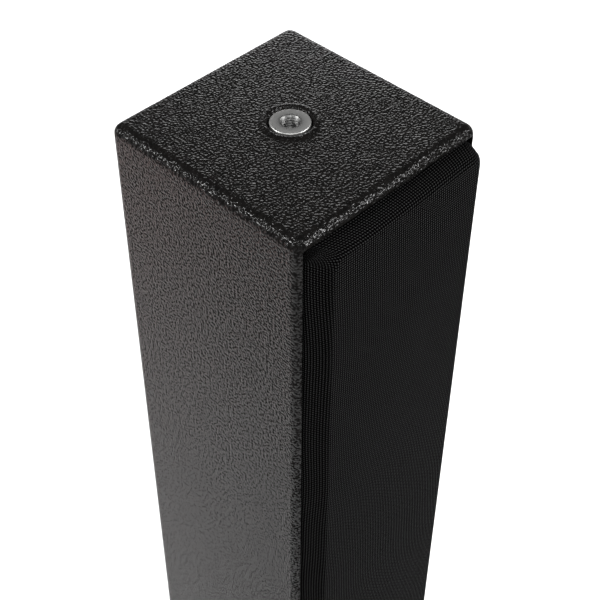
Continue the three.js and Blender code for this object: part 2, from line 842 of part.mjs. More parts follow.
function comboSocket() {
  const plate = roundedBox([-13, -8, -15.5], [13, 2, 15.5], 1.5, 1);
  const flange = plate.intersect(box([-20, touch, -20], [20, 3, 20]));
  const body = barY(socketRadius, socketBack, 1, 0, 0, socketSides);
  const core = barY(socketCore, socketBack, 3, 0, 0, socketSides);
  const groove = barY(socketGroove, grooveFloor, 3, 0, 0, socketSides).subtract(core);
  const jack = barY(jackRadius, socketBack + 2, 3, 0, 0, 12);
  return flange.add(body).subtract(groove).subtract(jack);
}
socketXs.forEach((x, i) => {
  const holder = new THREE.Group();
  holder.position.set(x, plateBack, socketZ);
  addPart(holder, `input_${i + 1}_socket`, comboSocket(), materials.plastic);
  sub.add(holder);
});

// Mains inlet with a rocker switch beside it; local y is 0 on the plate
const rockerX = 14;
const rockerHalfX = 7;
const rockerHalfZ = 10;
const rockerDepth = 5;
const rockerTilt = 10; // degrees
const bayX = -9; // the bay that takes the mains connector
const bayHalfX = 12.5;
const bayHalfZ = 9;
const pins = [[-7, -1], [7, -1], [0, 2.5]];

function mainsInlet() {
  const plate = roundedBox([-28, -8, -18], [28, 2.5, 18], 1.5, 1);
  const flange = plate.intersect(box([-40, touch, -30], [40, 3, 30]));
  const body = box([-inletHalfX, -28, -inletHalfZ], [inletHalfX, 1, inletHalfZ]);
  const bay = box([bayX - bayHalfX, -17, -bayHalfZ], [bayX + bayHalfX, 5, bayHalfZ]);
  const window = box(
    [rockerX - rockerHalfX - fit, -14, -rockerHalfZ - fit],
    [rockerX + rockerHalfX + fit, 5, rockerHalfZ + fit],
  );
  let inlet = flange.add(body).subtract(bay).subtract(window);
  for (const [x, z] of pins) {
    inlet = inlet.add(box([bayX + x - 1, -18, z - 2], [bayX + x + 1, -4, z + 2]));
  }
  return inlet;
}
const inlet = new THREE.Group();
inlet.position.set(inletX, plateBack, inletZ);
addPart(inlet, "mains_inlet", mainsInlet(), materials.plastic);

// The rocker pivots about X at the plate's face, and lies at rest with its upper end out
function rocker() {
  const steps = 6;
  const topZ = rockerHalfZ - 0.6;
  const topY = 4.2;
  const dish = 2;
  const outline = new THREE.Shape();
  outline.moveTo(-rockerDepth, -topZ + 0.6);
  for (let i = 0; i <= steps; i++) {
    const t = i / steps;
    outline.lineTo(topY - dish * Math.sin(t * Math.PI), -topZ * (1 - 2 * t));
  }
  outline.lineTo(-rockerDepth, topZ - 0.6);
  outline.closePath();
  const key = new THREE.ExtrudeGeometry(outline, { depth: 2 * rockerHalfX - 0.6, bevelEnabled: false });
  key.translate(0, 0, -rockerHalfX + 0.3).rotateY(Math.PI / 2).rotateX(Math.PI / 2);
  key.rotateX(THREE.MathUtils.degToRad(-rockerTilt));
  return solid(key.translate(rockerX, 0, 0));
}
addPart(inlet, "power_rocker", rocker(), materials.plastic);
sub.add(inlet);

// Rubber feet
const footInset = 38;
const footTop = 19; // radius against the cabinet
const screwWell = { radius: 7, depth: 3 };

function foot() {
  const profile = [
    [0, screwWell.depth],
    [screwWell.radius, screwWell.depth],
    [screwWell.radius, 0],
    [footTop - 3, 0],
    [footTop - 2, 1],
    [footTop, footHeight - touch],
    [0, footHeight - touch],
  ];
  const points = profile.map(([radius, y]) => new THREE.Vector2(radius, y));
  return solid(new THREE.LatheGeometry(points, 20).rotateX(Math.PI / 2));
}
for (const [name, side, y] of [
  ["front_left_foot", -1, subFront + footInset],
  ["front_right_foot", 1, subFront + footInset],
  ["rear_left_foot", -1, subBack - footInset],
  ["rear_right_foot", 1, subBack - footInset],
]) {
  const holder = new THREE.Group();
  holder.position.set(side * (subHalf - footInset), y, 0);
  addPart(holder, name, foot(), materials.rubber);
  sub.add(holder);
}

const system = new THREE.Group();
system.add(sub, column);

export default system;
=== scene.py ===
"""The looks of a compact column PA system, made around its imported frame.

Metres, +Z up. The front faces -Y. Profiles and offsets are in millimetres, and MM turns them into metres.
"""

import math

import bmesh
import bpy
from mathutils import Matrix, Vector


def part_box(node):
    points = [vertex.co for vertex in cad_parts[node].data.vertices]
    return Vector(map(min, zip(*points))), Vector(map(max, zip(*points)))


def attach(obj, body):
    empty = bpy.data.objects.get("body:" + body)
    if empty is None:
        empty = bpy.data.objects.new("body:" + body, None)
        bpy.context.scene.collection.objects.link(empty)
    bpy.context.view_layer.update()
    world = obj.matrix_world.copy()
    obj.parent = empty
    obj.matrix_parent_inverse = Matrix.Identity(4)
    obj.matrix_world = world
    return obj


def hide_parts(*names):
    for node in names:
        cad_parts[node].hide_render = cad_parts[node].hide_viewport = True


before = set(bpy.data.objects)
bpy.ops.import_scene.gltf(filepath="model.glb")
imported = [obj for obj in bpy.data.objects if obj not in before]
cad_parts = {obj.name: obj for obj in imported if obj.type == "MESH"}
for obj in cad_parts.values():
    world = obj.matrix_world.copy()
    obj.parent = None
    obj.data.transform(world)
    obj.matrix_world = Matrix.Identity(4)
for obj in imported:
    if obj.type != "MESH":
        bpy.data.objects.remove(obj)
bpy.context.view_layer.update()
MM = 0.001
SCENE = bpy.context.scene

# Cabinet edges and grilles. The CAD model's edges are 1 mm less round
EDGE = 4.6 * MM
SIDE_LIP = 2.6 * MM
TOP_LIP = 4.2 * MM
RABBET = 10 * MM
LIP_ROUND = 0.7 * MM
GRILLE_PROUD = 8.8 * MM
GRILLE_GAP = 0.8 * MM
GRILLE_SLOPE = 4.2 * MM
GRILLE_ROUND = 3.0 * MM
GRILLE_CORNER = 5.0 * MM
CLOTH_THICK = 0.5 * MM
CORNER_STEPS = 8


def mm(x, y, z):
    """A vector given in millimetres."""
    return Vector((x, y, z)) * MM


def middle(node, y=None, z=None):
    """The middle of a CAD node's box, moved to a given y or z."""
    low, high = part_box(node)
    spot = (low + high) / 2
    return Vector((spot.x, spot.y if y is None else y, spot.z if z is None else z))


# ---- Camera, floor and light ----

# The camera's angles in degrees, its distance in column widths, and how far it stands off its line of sight
CAMERA_ANGLES = (-46.07, 44.12, 0.345)
CAMERA_DISTANCE = 4.9626
CAMERA_ACROSS = 0.00477
CAMERA_DOWN = 0.13697
CAMERA_LENS = 77.2

# The studio's walls are bright up to head height, and its ceiling is dark: (sine of elevation, level)
WALL_LIGHT = ((0.0, 0.7), (0.2, 0.5), (0.36, 0.15), (0.5, 0.03), (1.0, 0.01))
COLUMN_TOP = (0, 0, 1.2)


def make_camera():
    """Looks down on the column's top from its front left."""
    azimuth, elevation, roll = (math.radians(a) for a in CAMERA_ANGLES)
    level = math.cos(elevation)
    right = Vector((math.cos(azimuth), math.sin(azimuth), 0))
    back = Vector((math.sin(azimuth) * level, -math.cos(azimuth) * level, math.sin(elevation)))
    up = back.cross(right)
    across = right * math.cos(roll) + up * math.sin(roll)
    upward = up * math.cos(roll) - right * math.sin(roll)
    low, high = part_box("column_top_panel")
    target = middle("column_top_panel", z=high.z)
    distance = CAMERA_DISTANCE * (high.x - low.x)
    data = bpy.data.cameras.new("camera")
    data.lens = CAMERA_LENS
    data.sensor_width = 36.0
    data.clip_start = 0.01
    camera = bpy.data.objects.new("camera", data)
    SCENE.collection.objects.link(camera)
    rotation = Matrix((across, upward, back)).transposed().to_4x4()
    place = target + distance * (back + CAMERA_ACROSS * across - CAMERA_DOWN * upward)
    camera.matrix_world = Matrix.Translation(place) @ rotation
    SCENE.camera = camera


def sun_light(name, towards, angle, strength):
    light = bpy.data.lights.new(name, "SUN")
    light.energy = strength
    light.angle = angle
    made = bpy.data.objects.new(name, light)
    made.rotation_euler = Vector(towards).to_track_quat("Z", "Y").to_euler()
    SCENE.collection.objects.link(made)


def area_light(name, place, aim, size, power, colour=(1, 1, 1)):
    """A square light that the camera doesn't see."""
    data = bpy.data.lights.new(name, "AREA")
    data.shape = "RECTANGLE"
    data.size = data.size_y = size
    data.energy = power
    data.color = colour
    light = bpy.data.objects.new(name, data)
    light.location = place
    light.visible_camera = False
    light.rotation_euler = (Vector(aim) - Vector(place)).to_track_quat("-Z", "Y").to_euler()
    SCENE.collection.objects.link(light)
    return light


def make_studio():
    world = bpy.data.worlds.new("studio")
    SCENE.world = world
    world.use_nodes = True
    nodes, links = world.node_tree.nodes, world.node_tree.links
    direction = nodes.new("ShaderNodeTexCoord").outputs["Generated"]
    split = nodes.new("ShaderNodeSeparateXYZ")
    ramp = nodes.new("ShaderNodeValToRGB")
    links.new(direction, split.inputs["Vector"])
    links.new(split.outputs["Z"], ramp.inputs["Fac"])
    links.new(ramp.outputs["Color"], nodes["Background"].inputs["Color"])
    set_stops(ramp.color_ramp, [(at, grey(level)) for at, level in WALL_LIGHT])
    SCENE.view_settings.view_transform = "Standard"

    sun_light("key", (-2.7, -2.6, 4.3), math.radians(14), 1.75)
    area_light("back_left", (-1.75, 1.25, 2.57), COLUMN_TOP, 0.34, 80)
    area_light("back_right", (2.4, 2.3, 1.7), COLUMN_TOP, 1.3, 19)
    area_light("front_right", (1.35, -1.8, 2.55), COLUMN_TOP, 0.7, 95)
    area_light("overhead", (-0.4, -0.4, 3.5), COLUMN_TOP, 0.4, 9)
    area_light("floor_warmth", (-0.95, 1.7, 0.4), (-0.95, 1.7, 0), 0.8, 5, (1, 0.3, 0.22))
    backdrop = area_light("backdrop", (1.3, 1.3, 2.2), (1.3, 1.3, 0), 1.2, 9)
    backdrop.data.spread = math.radians(80)

    bpy.ops.mesh.primitive_plane_add(size=60, location=(0, 0, 0))
    floor = bpy.context.object
    floor.name = "floor"
    shader = Shader("floor", grey(0.86), 0.8)
    shader.colour_from(shader.noise(6), [(0.3, grey(0.85)), (0.7, grey(0.88))])
    floor.data.materials.append(shader.material)


# ---- Materials ----


def grey(value):
    return (value, value, value)


def set_stops(ramp, stops):
    """Gives a colour ramp its (position, colour) stops."""
    while len(ramp.elements) < len(stops):
        ramp.elements.new(0.5)
    for element, (at, colour) in zip(ramp.elements, stops):
        element.position = at
        element.color = (*colour, 1)


class Shader:
    """A Principled material, with short ways to add nodes to it. Patterns are placed in metres."""

    def __init__(self, name, colour, roughness, metallic=0.0, specular=0.5):
        self.material = bpy.data.materials.new(name)
        self.material.use_nodes = True
        self.tree = self.material.node_tree
        self.bsdf = self.tree.nodes["Principled BSDF"]
        self.bsdf.inputs["Base Color"].default_value = (*colour, 1)
        self.bsdf.inputs["Roughness"].default_value = roughness
        self.bsdf.inputs["Metallic"].default_value = metallic
        self.bsdf.inputs["Specular IOR Level"].default_value = specular
        self.place = self.tree.nodes.new("ShaderNodeTexCoord").outputs["Object"]

    def node(self, kind, inputs=None, **settings):
        made = self.tree.nodes.new(kind)
        for key, value in settings.items():
            setattr(made, key, value)
        for key, value in (inputs or {}).items():
            if isinstance(value, bpy.types.NodeSocket):
                self.tree.links.new(value, made.inputs[key])
            else:
                made.inputs[key].default_value = value
        return made

    def noise(self, scale, detail=2.0, rough=0.5, place=None, distortion=0.0):
        inputs = {"Vector": place or self.place, "Scale": scale, "Detail": detail, "Roughness": rough}
        inputs["Distortion"] = distortion
        return self.node("ShaderNodeTexNoise", inputs).outputs["Fac"]

    def math(self, operation, a, b=0.0, c=0.0):
        return self.node("ShaderNodeMath", {0: a, 1: b, 2: c}, operation=operation).outputs[0]

    def vector(self, operation, a, b=(0, 0, 0), c=(0, 0, 0), output="Vector"):
        made = self.node("ShaderNodeVectorMath", {0: a, 1: b, 2: c}, operation=operation)
        return made.outputs[output]

    def ramp(self, value, stops):
        made = self.node("ShaderNodeValToRGB", {"Fac": value})
        set_stops(made.color_ramp, stops)
        return made.outputs["Color"]

    def colour_from(self, value, stops):
        self.tree.links.new(self.ramp(value, stops), self.bsdf.inputs["Base Color"])

    def gloss_from(self, value, stops):
        self.tree.links.new(self.ramp(value, stops), self.bsdf.inputs["Specular IOR Level"])

    def roughness_from(self, value, low, high):
        inputs = {"Value": value, "To Min": low, "To Max": high}
        out = self.node("ShaderNodeMapRange", inputs).outputs["Result"]
        self.tree.links.new(out, self.bsdf.inputs["Roughness"])

    def bump(self, height, distance, strength=1.0):
        """Distance is in millimetres."""
        inputs = {"Height": height, "Distance": distance * MM, "Strength": strength}
        out = self.node("ShaderNodeBump", inputs).outputs["Normal"]
        self.tree.links.new(out, self.bsdf.inputs["Normal"])


def textured_paint():
    """Sprayed black polyurea: close, glossy, rounded grain, with painted shade that turns down the reflection
    in the hollows between the grains.
    """
    grains_per_metre, grain_height = 1000, 0.52
    hollow_gloss, grain_gloss = 0.016, 0.19
    shader = Shader("textured_paint", grey(0.005), 0.3, specular=0.1)
    grain = shader.noise(grains_per_metre, detail=0.6, rough=0.4)
    shader.bump(grain, grain_height)
    hollows = shader.noise(grains_per_metre, detail=0.5)
    # Painted shade: the specular level drops in the hollows, darkening them as if shaded.
    shader.gloss_from(hollows, [(0.38, grey(hollow_gloss)), (0.62, grey(grain_gloss))])
    tint = shader.noise(260, detail=3)
    shader.colour_from(tint, [(0.3, (0.0028, 0.0027, 0.0026)), (0.7, (0.0055, 0.005, 0.0047))])
    shader.roughness_from(grain, 0.16, 0.3)
    return shader.material


def speaker_cloth():
    """Black woven cloth. Its UV map holds metres along the threads, which wander a little."""
    pitch, wander = 1.2 * MM, 14 * MM
    shader = Shader("speaker_cloth", grey(0.002), 0.42, specular=0.03)
    uv = shader.node("ShaderNodeUVMap", uv_map="threads").outputs["UV"]
    drift = shader.node("ShaderNodeTexNoise", {"Vector": shader.place, "Scale": 11.0, "Detail": 0.5})
    offset = shader.vector("SUBTRACT", drift.outputs["Color"], grey(0.5))
    moved = shader.vector("MULTIPLY_ADD", offset, grey(wander), uv)
    split = shader.node("ShaderNodeSeparateXYZ", {"Vector": moved})
    turns = [shader.math("MULTIPLY", split.outputs[k], math.pi / pitch) for k in ("X", "Y")]
    waves = [shader.math("SINE", turn) for turn in turns]
    threads = [shader.math("ABSOLUTE", wave) for wave in waves]
    over = shader.math("MULTIPLY", waves[0], waves[1])
    rise = shader.math("MULTIPLY_ADD", over, 0.5, 0.5)
    warp_height = shader.math("MULTIPLY", threads[0], rise)
    weft_height = shader.math("MULTIPLY", threads[1], shader.math("SUBTRACT", 1.0, rise))
    height = shader.math("MAXIMUM", warp_height, weft_height)
    fuzz = shader.noise(4200)
    shader.bump(shader.math("MULTIPLY_ADD", fuzz, 0.15, height), 0.45, 0.9)
    # Painted shade of the weave: the colour is darkest in the gaps between threads and lightest on the
    # threads' crowns.
    shader.colour_from(height, [(0.45, grey(0.0003)), (0.8, grey(0.0075)), (1.0, grey(0.033))])
    shader.gloss_from(height, [(0.5, grey(0.0)), (0.95, grey(0.02))])
    return shader.material


def machined_steel():
    """Turned steel, with fine tool rings about the insert's axis, and painted shade that darkens it towards
    the bore.
    """
    reach = 16 * MM
    shader = Shader("machined_steel", (0.5, 0.5, 0.49), 0.36, metallic=1.0)
    centre = middle("column_top_insert")
    local = shader.vector("SUBTRACT", shader.place, (centre.x, centre.y, 0))
    parts = shader.node("ShaderNodeSeparateXYZ", {"Vector": local})
    flat = shader.node("ShaderNodeCombineXYZ", {"X": parts.outputs["X"], "Y": parts.outputs["Y"]})
    radius = shader.vector("LENGTH", flat.outputs["Vector"], output="Value")
    turned_place = shader.node("ShaderNodeCombineXYZ", {"X": radius, "Y": parts.outputs["Z"]})
    rings = shader.noise(5200, place=turned_place.outputs["Vector"])
    grain = shader.noise(2500, detail=3)
    shader.bump(shader.math("MULTIPLY_ADD", grain, 0.12, rings), 0.03, 0.6)
    # Painted shade: the colour darkens towards the axis, darkest in the bore and its mouth, with a little
    # grain mixed in.
    grain_and_bore_shade = shader.math("MULTIPLY_ADD", grain, 0.25, shader.math("MULTIPLY", radius, 1 / reach))
    bore, mouth = (0.3, grey(0.05)), (0.38, (0.1, 0.1, 0.098))
    shader.colour_from(grain_and_bore_shade, [bore, mouth, (0.44, (0.3, 0.3, 0.295)), (0.6, (0.42, 0.42, 0.41))])
    shader.roughness_from(rings, 0.4, 0.58)
    return shader.material


def shaded(shader, pattern, dark, light, colour):
    """Colours a material by a pattern, from a darker to a lighter shade: two pairs of (position, share)."""
    stops = [(at, tuple(share * c for c in colour)) for at, share in (dark, light)]
    shader.colour_from(pattern, stops)


def moulded_plastic(name="moulded_plastic", level=0.018, roughness=0.48, scale=2600):
    shader = Shader(name, grey(level), roughness)
    wide = shader.noise(90, detail=3)
    shader.bump(shader.noise(scale), 0.05, 0.5)
    shaded(shader, wide, (0.3, 0.85), (0.7, 1.2), grey(level))
    shader.roughness_from(wide, roughness - 0.06, roughness + 0.08)
    return shader.material


def powder_coat(name, level, roughness, metallic=0.0):
    shader = Shader(name, grey(level), roughness, metallic=metallic)
    grain = shader.noise(1500)
    shader.bump(grain, 0.06, 0.45)
    shaded(shader, shader.noise(60, detail=3), (0.35, 0.85), (0.65, 1.15), grey(level))
    shader.roughness_from(grain, roughness - 0.05, roughness + 0.07)
    return shader.material


def coloured_plastic(name, colour, roughness):
    shader = Shader(name, colour, roughness)
    grain = shader.noise(700, detail=3)
    shader.bump(grain, 0.05, 0.5)
    shaded(shader, grain, (0.3, 0.85), (0.7, 1.1), colour)
    shader.roughness_from(grain, roughness - 0.06, roughness + 0.08)
    return shader.material


def bright_metal(name, colour, roughness):
    shader = Shader(name, colour, roughness, metallic=1.0)
    grain = shader.noise(1800, detail=3)
    shader.bump(grain, 0.02, 0.5)
    shader.roughness_from(grain, roughness - 0.06, roughness + 0.1)
    return shader.material


def copper_winding():
    """Enamelled copper wire, laid side by side."""
    shader = Shader("copper_winding", (0.5, 0.2, 0.07), 0.3, metallic=1.0)
    inputs = {"Vector": shader.place, "Scale": (0.1, 1.0, 0.1)}
    stretched = shader.node("ShaderNodeMapping", inputs).outputs["Vector"]
    wires = shader.noise(900, place=stretched)
    shader.bump(wires, 0.15, 0.7)
    shader.colour_from(wires, [(0.3, (0.28, 0.09, 0.03)), (0.7, (0.6, 0.26, 0.1))])
    shader.roughness_from(wires, 0.24, 0.42)
    return shader.material


def paper_cone():
    """Pressed paper with fibres and a little gloss from its coating."""
    shader = Shader("paper_cone", (0.02, 0.02, 0.021), 0.62)
    fibres = shader.noise(700, detail=5, rough=0.7, distortion=1.5)
    shader.bump(fibres, 0.12, 0.6)
    shader.colour_from(fibres, [(0.35, (0.012, 0.012, 0.013)), (0.65, (0.034, 0.034, 0.036))])
    shader.roughness_from(fibres, 0.5, 0.75)
    return shader.material


def soft_rubber():
    """Matt rubber with a little dust on it."""
    shader = Shader("soft_rubber", grey(0.012), 0.62)
    shader.bump(shader.noise(1800), 0.04, 0.5)
    dust = shader.noise(120, detail=4)
    shader.colour_from(dust, [(0.4, grey(0.01)), (0.75, grey(0.022))])
    shader.roughness_from(dust, 0.52, 0.74)
    return shader.material


def board_coating():
    """Green solder mask with paler lines between its cells."""
    shader = Shader("circuit_board", (0.01, 0.06, 0.025), 0.4)
    inputs = {"Vector": shader.place, "Scale": 260}
    tracks = shader.node("ShaderNodeTexVoronoi", inputs, feature="DISTANCE_TO_EDGE").outputs["Distance"]
    shader.colour_from(tracks, [(0.02, (0.03, 0.13, 0.05)), (0.08, (0.008, 0.05, 0.02))])
    shader.bump(tracks, 0.05, 0.3)
    shader.roughness_from(shader.noise(900), 0.32, 0.5)
    return shader.material


def white_print():
    shader = Shader("panel_print", (0.62, 0.62, 0.6), 0.55)
    shader.colour_from(shader.noise(800, detail=3), [(0.35, grey(0.5)), (0.6, grey(0.66))])
    return shader.material


make_camera()
make_studio()
PAINT = textured_paint()
CLOTH = speaker_cloth()
STEEL = machined_steel()
PLASTIC = moulded_plastic()
FRAME_PLASTIC = moulded_plastic("grille_frame_plastic", 0.014, 0.6, 1500)
GLOSS_PLASTIC = moulded_plastic("gloss_plastic", 0.012, 0.25, 3000)
BASKET = powder_coat("basket_coat", 0.03, 0.42, metallic=0.3)
PANEL = powder_coat("panel_coat", 0.028, 0.4)
BAFFLE = powder_coat("baffle_paint", 0.016, 0.75)
MAGNET = powder_coat("ferrite", 0.05, 0.6)
CONE = paper_cone()
RUBBER = soft_rubber()
BOARD = board_coating()
NICKEL = bright_metal("nickel", (0.62, 0.6, 0.56), 0.26)
ZINC = bright_metal("dark_screw", (0.09, 0.09, 0.095), 0.34)
COPPER = bright_metal("contact_gold", (0.75, 0.52, 0.24), 0.3)
PRINT = white_print()
FILM = coloured_plastic("film_capacitor", (0.45, 0.3, 0.05), 0.35)
CERAMIC = coloured_plastic("ceramic", (0.6, 0.58, 0.54), 0.7)
SLEEVE = coloured_plastic("capacitor_sleeve", (0.02, 0.03, 0.07), 0.3)
WINDING = copper_winding()
ALUMINIUM = bright_metal("extruded_aluminium", (0.56, 0.57, 0.58), 0.4)


# ---- Mesh helpers ----


def mesh_piece(name, points, faces):
    mesh = bpy.data.meshes.new(name)
    mesh.from_pydata([tuple(p) for p in points], [], faces)
    mesh.validate()
    shape = bmesh.new()
    shape.from_mesh(mesh)
    bmesh.ops.recalc_face_normals(shape, faces=shape.faces)
    shape.to_mesh(mesh)
    shape.free()
    return placed(name, mesh)


def placed(name, data):
    """A new object in the scene, holding a mesh or curve."""
    made = bpy.data.objects.new(name, data)
    SCENE.collection.objects.link(made)
    return made


def as_mesh(piece):
    """A piece's mesh with its modifiers, or its curve's fill, worked out."""
    bpy.context.view_layer.update()
    graph = bpy.context.evaluated_depsgraph_get()
    return bpy.data.meshes.new_from_object(piece.evaluated_get(graph))


def applied(piece):
    """Turns a piece's modifiers into its mesh."""
    mesh = as_mesh(piece)
    piece.modifiers.clear()
    old = piece.data
    piece.data = mesh
    bpy.data.meshes.remove(old)
    return piece


def combine(piece, other, operation):
    modifier = piece.modifiers.new("combine", "BOOLEAN")
    modifier.operation = operation
    modifier.solver = "EXACT"
    modifier.object = other
    applied(piece)
    bpy.data.objects.remove(other)


def cut(piece, cutter):
    """Cuts a piece with another, which is used up, as it is by add and keep."""
    combine(piece, cutter, "DIFFERENCE")


def add(piece, other):
    combine(piece, other, "UNION")


def keep(piece, region):
    combine(piece, region, "INTERSECT")


def finished(piece, body, slot, material, *nodes, angle=35):
    """Shades a piece smooth between edges sharper than angle, and gives it a body and material; slot is not
    used.
    """
    piece.data.shade_smooth()
    piece.data.set_sharp_from_angle(angle=math.radians(angle))
    modifier = piece.modifiers.new("normals", "WEIGHTED_NORMAL")
    modifier.keep_sharp = True
    applied(piece)
    piece.data.materials.clear()
    piece.data.materials.append(material)
    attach(piece, body)
    if nodes:
        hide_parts(*nodes)


def block(name, low, high, radius=0.0, steps=4):
    """A box between two corners, with its edges rounded."""
    low, high = Vector(low), Vector(high)
    shape = bmesh.new()
    bmesh.ops.create_cube(shape, size=1)
    for vertex in shape.verts:
        vertex.co = Vector((low[k] + high[k]) / 2 + vertex.co[k] * (high[k] - low[k]) for k in range(3))
    if radius:
        rounding = {"offset": radius, "segments": steps, "profile": 0.5, "affect": "EDGES"}
        bmesh.ops.bevel(shape, geom=shape.edges[:], **rounding)
    mesh = bpy.data.meshes.new(name)
    shape.to_mesh(mesh)
    shape.free()
    return placed(name, mesh)


def block_at(name, centre, start, end, radius=0.0, steps=3):
    """A rounded box whose corners and radius are in millimetres, from centre."""
    return block(name, centre + mm(*start), centre + mm(*end), radius * MM, steps)


def skin(name, count, rings, closed=False, caps=()):
    """A skin through rings of count points each, closed round the rings or capped by some of them."""
    points = [p for ring in rings for p in ring]
    faces = []
    for r in range(len(rings) - (0 if closed else 1)):
        following = (r + 1) % len(rings) * count
        for i in range(count):
            j = (i + 1) % count
            faces.append((r * count + i, r * count + j, following + j, following + i))
    faces += [tuple(range(r * count, (r + 1) * count)) for r in caps]
    return mesh_piece(name, points, faces)


def turned(name, profile, centre, axis="Y", sides=64):
    """A closed profile of (radius, along) pairs in millimetres, turned about an axis through centre.

    A radius may be a function of the angle, for outlines that aren't round.
    """
    points, faces, rows = [], [], []
    for radius, along in profile:
        row = []
        for i in range(sides if callable(radius) or radius > 1e-6 else 1):
            angle = 2 * math.pi * i / sides
            reach = radius(angle) if callable(radius) else radius
            across, up = reach * math.sin(angle), reach * math.cos(angle)
            spot = {"X": (along, across, up), "Y": (across, along, up), "Z": (across, up, along)}[axis]
            row.append(len(points))
            points.append(Vector(centre) + mm(*spot))
        rows.append(row)
    hollow = callable(profile[0][0]) or profile[0][0] > 1e-6
    pairs = list(zip(rows, rows[1:])) + ([(rows[-1], rows[0])] if hollow else [])
    for one, two in pairs:
        for i in range(sides):
            j = (i + 1) % sides
            a = [one[i], one[j]] if len(one) > 1 else [one[0]]
            b = [two[j], two[i]] if len(two) > 1 else [two[0]]
            if len(a) + len(b) > 2:
                faces.append(tuple(a + b))
    return mesh_piece(name, points, faces)


def turned_piece(name, profile, centre, body, slot, material, *nodes, axis="Y", sides=64, angle=35):
    """A turned piece that needs no cut, finished."""
    finished(turned(name, profile, centre, axis, sides), body, slot, material, *nodes, angle=angle)


def arc(centre, radius, start, end, steps):
    """Points on an arc, from one angle in degrees to another."""
    angles = [math.radians(start + (end - start) * i / steps) for i in range(steps + 1)]
    return [(centre[0] + radius * math.cos(a), centre[1] + radius * math.sin(a)) for a in angles]


def joined(name, pieces):
    """One piece from several."""
    shape = bmesh.new()
    for piece in pieces:
        shape.from_mesh(piece.data)
        bpy.data.objects.remove(piece)
    mesh = bpy.data.meshes.new(name)
    shape.to_mesh(mesh)
    shape.free()
    return placed(name, mesh)


def hexagon(across):
    """A hexagon's radius at an angle."""
    return lambda angle: across / 2 / math.cos(angle % (math.pi / 3) - math.pi / 6)


def screw(centre, axis, facing, radius):
    """A domed screw with a hexagon socket. Facing is the way its head looks along the axis."""
    height = 0.62 * radius
    socket_floor = height - 0.55 * radius
    key = hexagon(0.95 * radius)
    profile = [(0, socket_floor), (key, socket_floor), (key, height), (0.72 * radius, height)]
    profile += [(0.92 * radius, 0.72 * height), (radius, 0.35 * height), (radius, -0.2), (0, -0.2)]
    return turned("screw", [(r, facing * along) for r, along in profile], centre, axis, sides=24)


def screws(name, spots, axis, facing, radius, slot, body):
    pieces = [screw(spot, axis, facing, radius) for spot in spots]
    finished(joined(name, pieces), body, slot, ZINC, angle=30)


def corners(half_a, half_b):
    """The four corners of a rectangle about its middle."""
    return [(a, b) for a in (-half_a, half_a) for b in (-half_b, half_b)]


def on_circle(radius, count, first):
    """Points spaced evenly on a circle."""
    angles = [first + k * 2 * math.pi / count for k in range(count)]
    return [(radius * math.cos(a), radius * math.sin(a)) for a in angles]


def upright(centre, pairs, depth):
    """Spots at (x, z) pairs in millimetres from centre, and depth along Y."""
    return [centre + mm(a, depth, b) for a, b in pairs]


def cylinder(radius, start, end, centre, sides=48):
    """A plain cutter along Y, from start to end in millimetres from centre."""
    return turned("cut", [(0, start), (radius, start), (radius, end), (0, end)], centre, sides=sides)


# ---- Cabinets ----


def rounded_rectangle(half_x, low, high, radius, corner_steps=6, spacing=None):
    """Points round an upright rectangle, as (x, z), from its right side's top corner on."""
    ends = ((1, 1), (-1, 1), (-1, -1), (1, -1))

    def at(corner, angle):
        x = corner[0] * (half_x - radius)
        z = high - radius if corner[1] > 0 else low + radius
        return x + radius * math.cos(angle), z + radius * math.sin(angle)

    out = []
    for k, corner in enumerate(ends):
        out += [at(corner, math.pi / 2 * (k + i / corner_steps)) for i in range(corner_steps + 1)]
        if spacing:
            start = Vector(out[-1])
            end = Vector(at(ends[(k + 1) % 4], math.pi / 2 * (k + 1)))
            steps = spacing[k % 2]
            out += [tuple(start.lerp(end, i / steps)) for i in range(1, steps)]
    return out


def rabbet_cutter(low, high):
    """The space in front of the baffle, flaring where the paint rounds the lip."""
    half = (high.x - low.x) / 2 - SIDE_LIP
    bottom, top = low.z + TOP_LIP, high.z - TOP_LIP
    steps = 4
    places = [(low.y + RABBET, 0.0)]
    for i in range(steps + 1):
        angle = math.pi / 2 * i / steps
        places.append((low.y + LIP_ROUND * (1 - math.sin(angle)), LIP_ROUND * (1 - math.cos(angle))))
    places.append((low.y - 2 * MM, LIP_ROUND))
    rings = []
    for y, flare in places:
        ring = rounded_rectangle(half + flare, bottom - flare, top + flare, 1.2 * MM + flare)
        rings.append([(x, y, z) for x, z in ring])
    return skin("rabbet", len(rings[0]), rings, caps=(0, len(rings) - 1))


def insert_hole_cutter():
    """A hole whose mouth the paint rounds over."""
    centre = middle("column_top_insert", z=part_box("column_top_panel")[1].z)
    radius, lip, depth = 8.8, 1.1, 20
    profile = [(0, -depth), (radius, -depth)] + arc((radius + lip, -lip), lip, 180, 95, 6)
    profile += [(radius + lip + 0.6, 0.05), (radius + lip + 0.6, 4), (0, 4)]
    return turned("insert_hole", profile, centre, axis="Z")


def plug_cutter():
    """The hole for the plug's flange, 4.5 mm inside its edge."""
    low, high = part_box("column_dock_plug")
    inset = mm(4.5, 4.5, 0)
    return block("cut", low + inset, high - inset)


def socket_cutter():
    """The opening for the dock's well."""
    return block("cut", (-34.5 * MM, -24.5 * MM, 0.3), (34.5 * MM, 24.5 * MM, 0.5))


def cup_cutter():
    """One cut through both sides of the bass cabinet, for its two handle cups."""
    centre = Vector((0, 0, middle("left_handle_cup").z))
    return block_at("cut", centre, (-300, -62.5, -36.5), (300, 62.5, 36.5))


def amplifier_cutter():
    """The opening behind the amplifier's plate, 15 mm inside its edge."""
    low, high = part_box("amplifier_plate")
    return block("cut", low + mm(15, -100, 15), high + mm(-15, 100, -15))


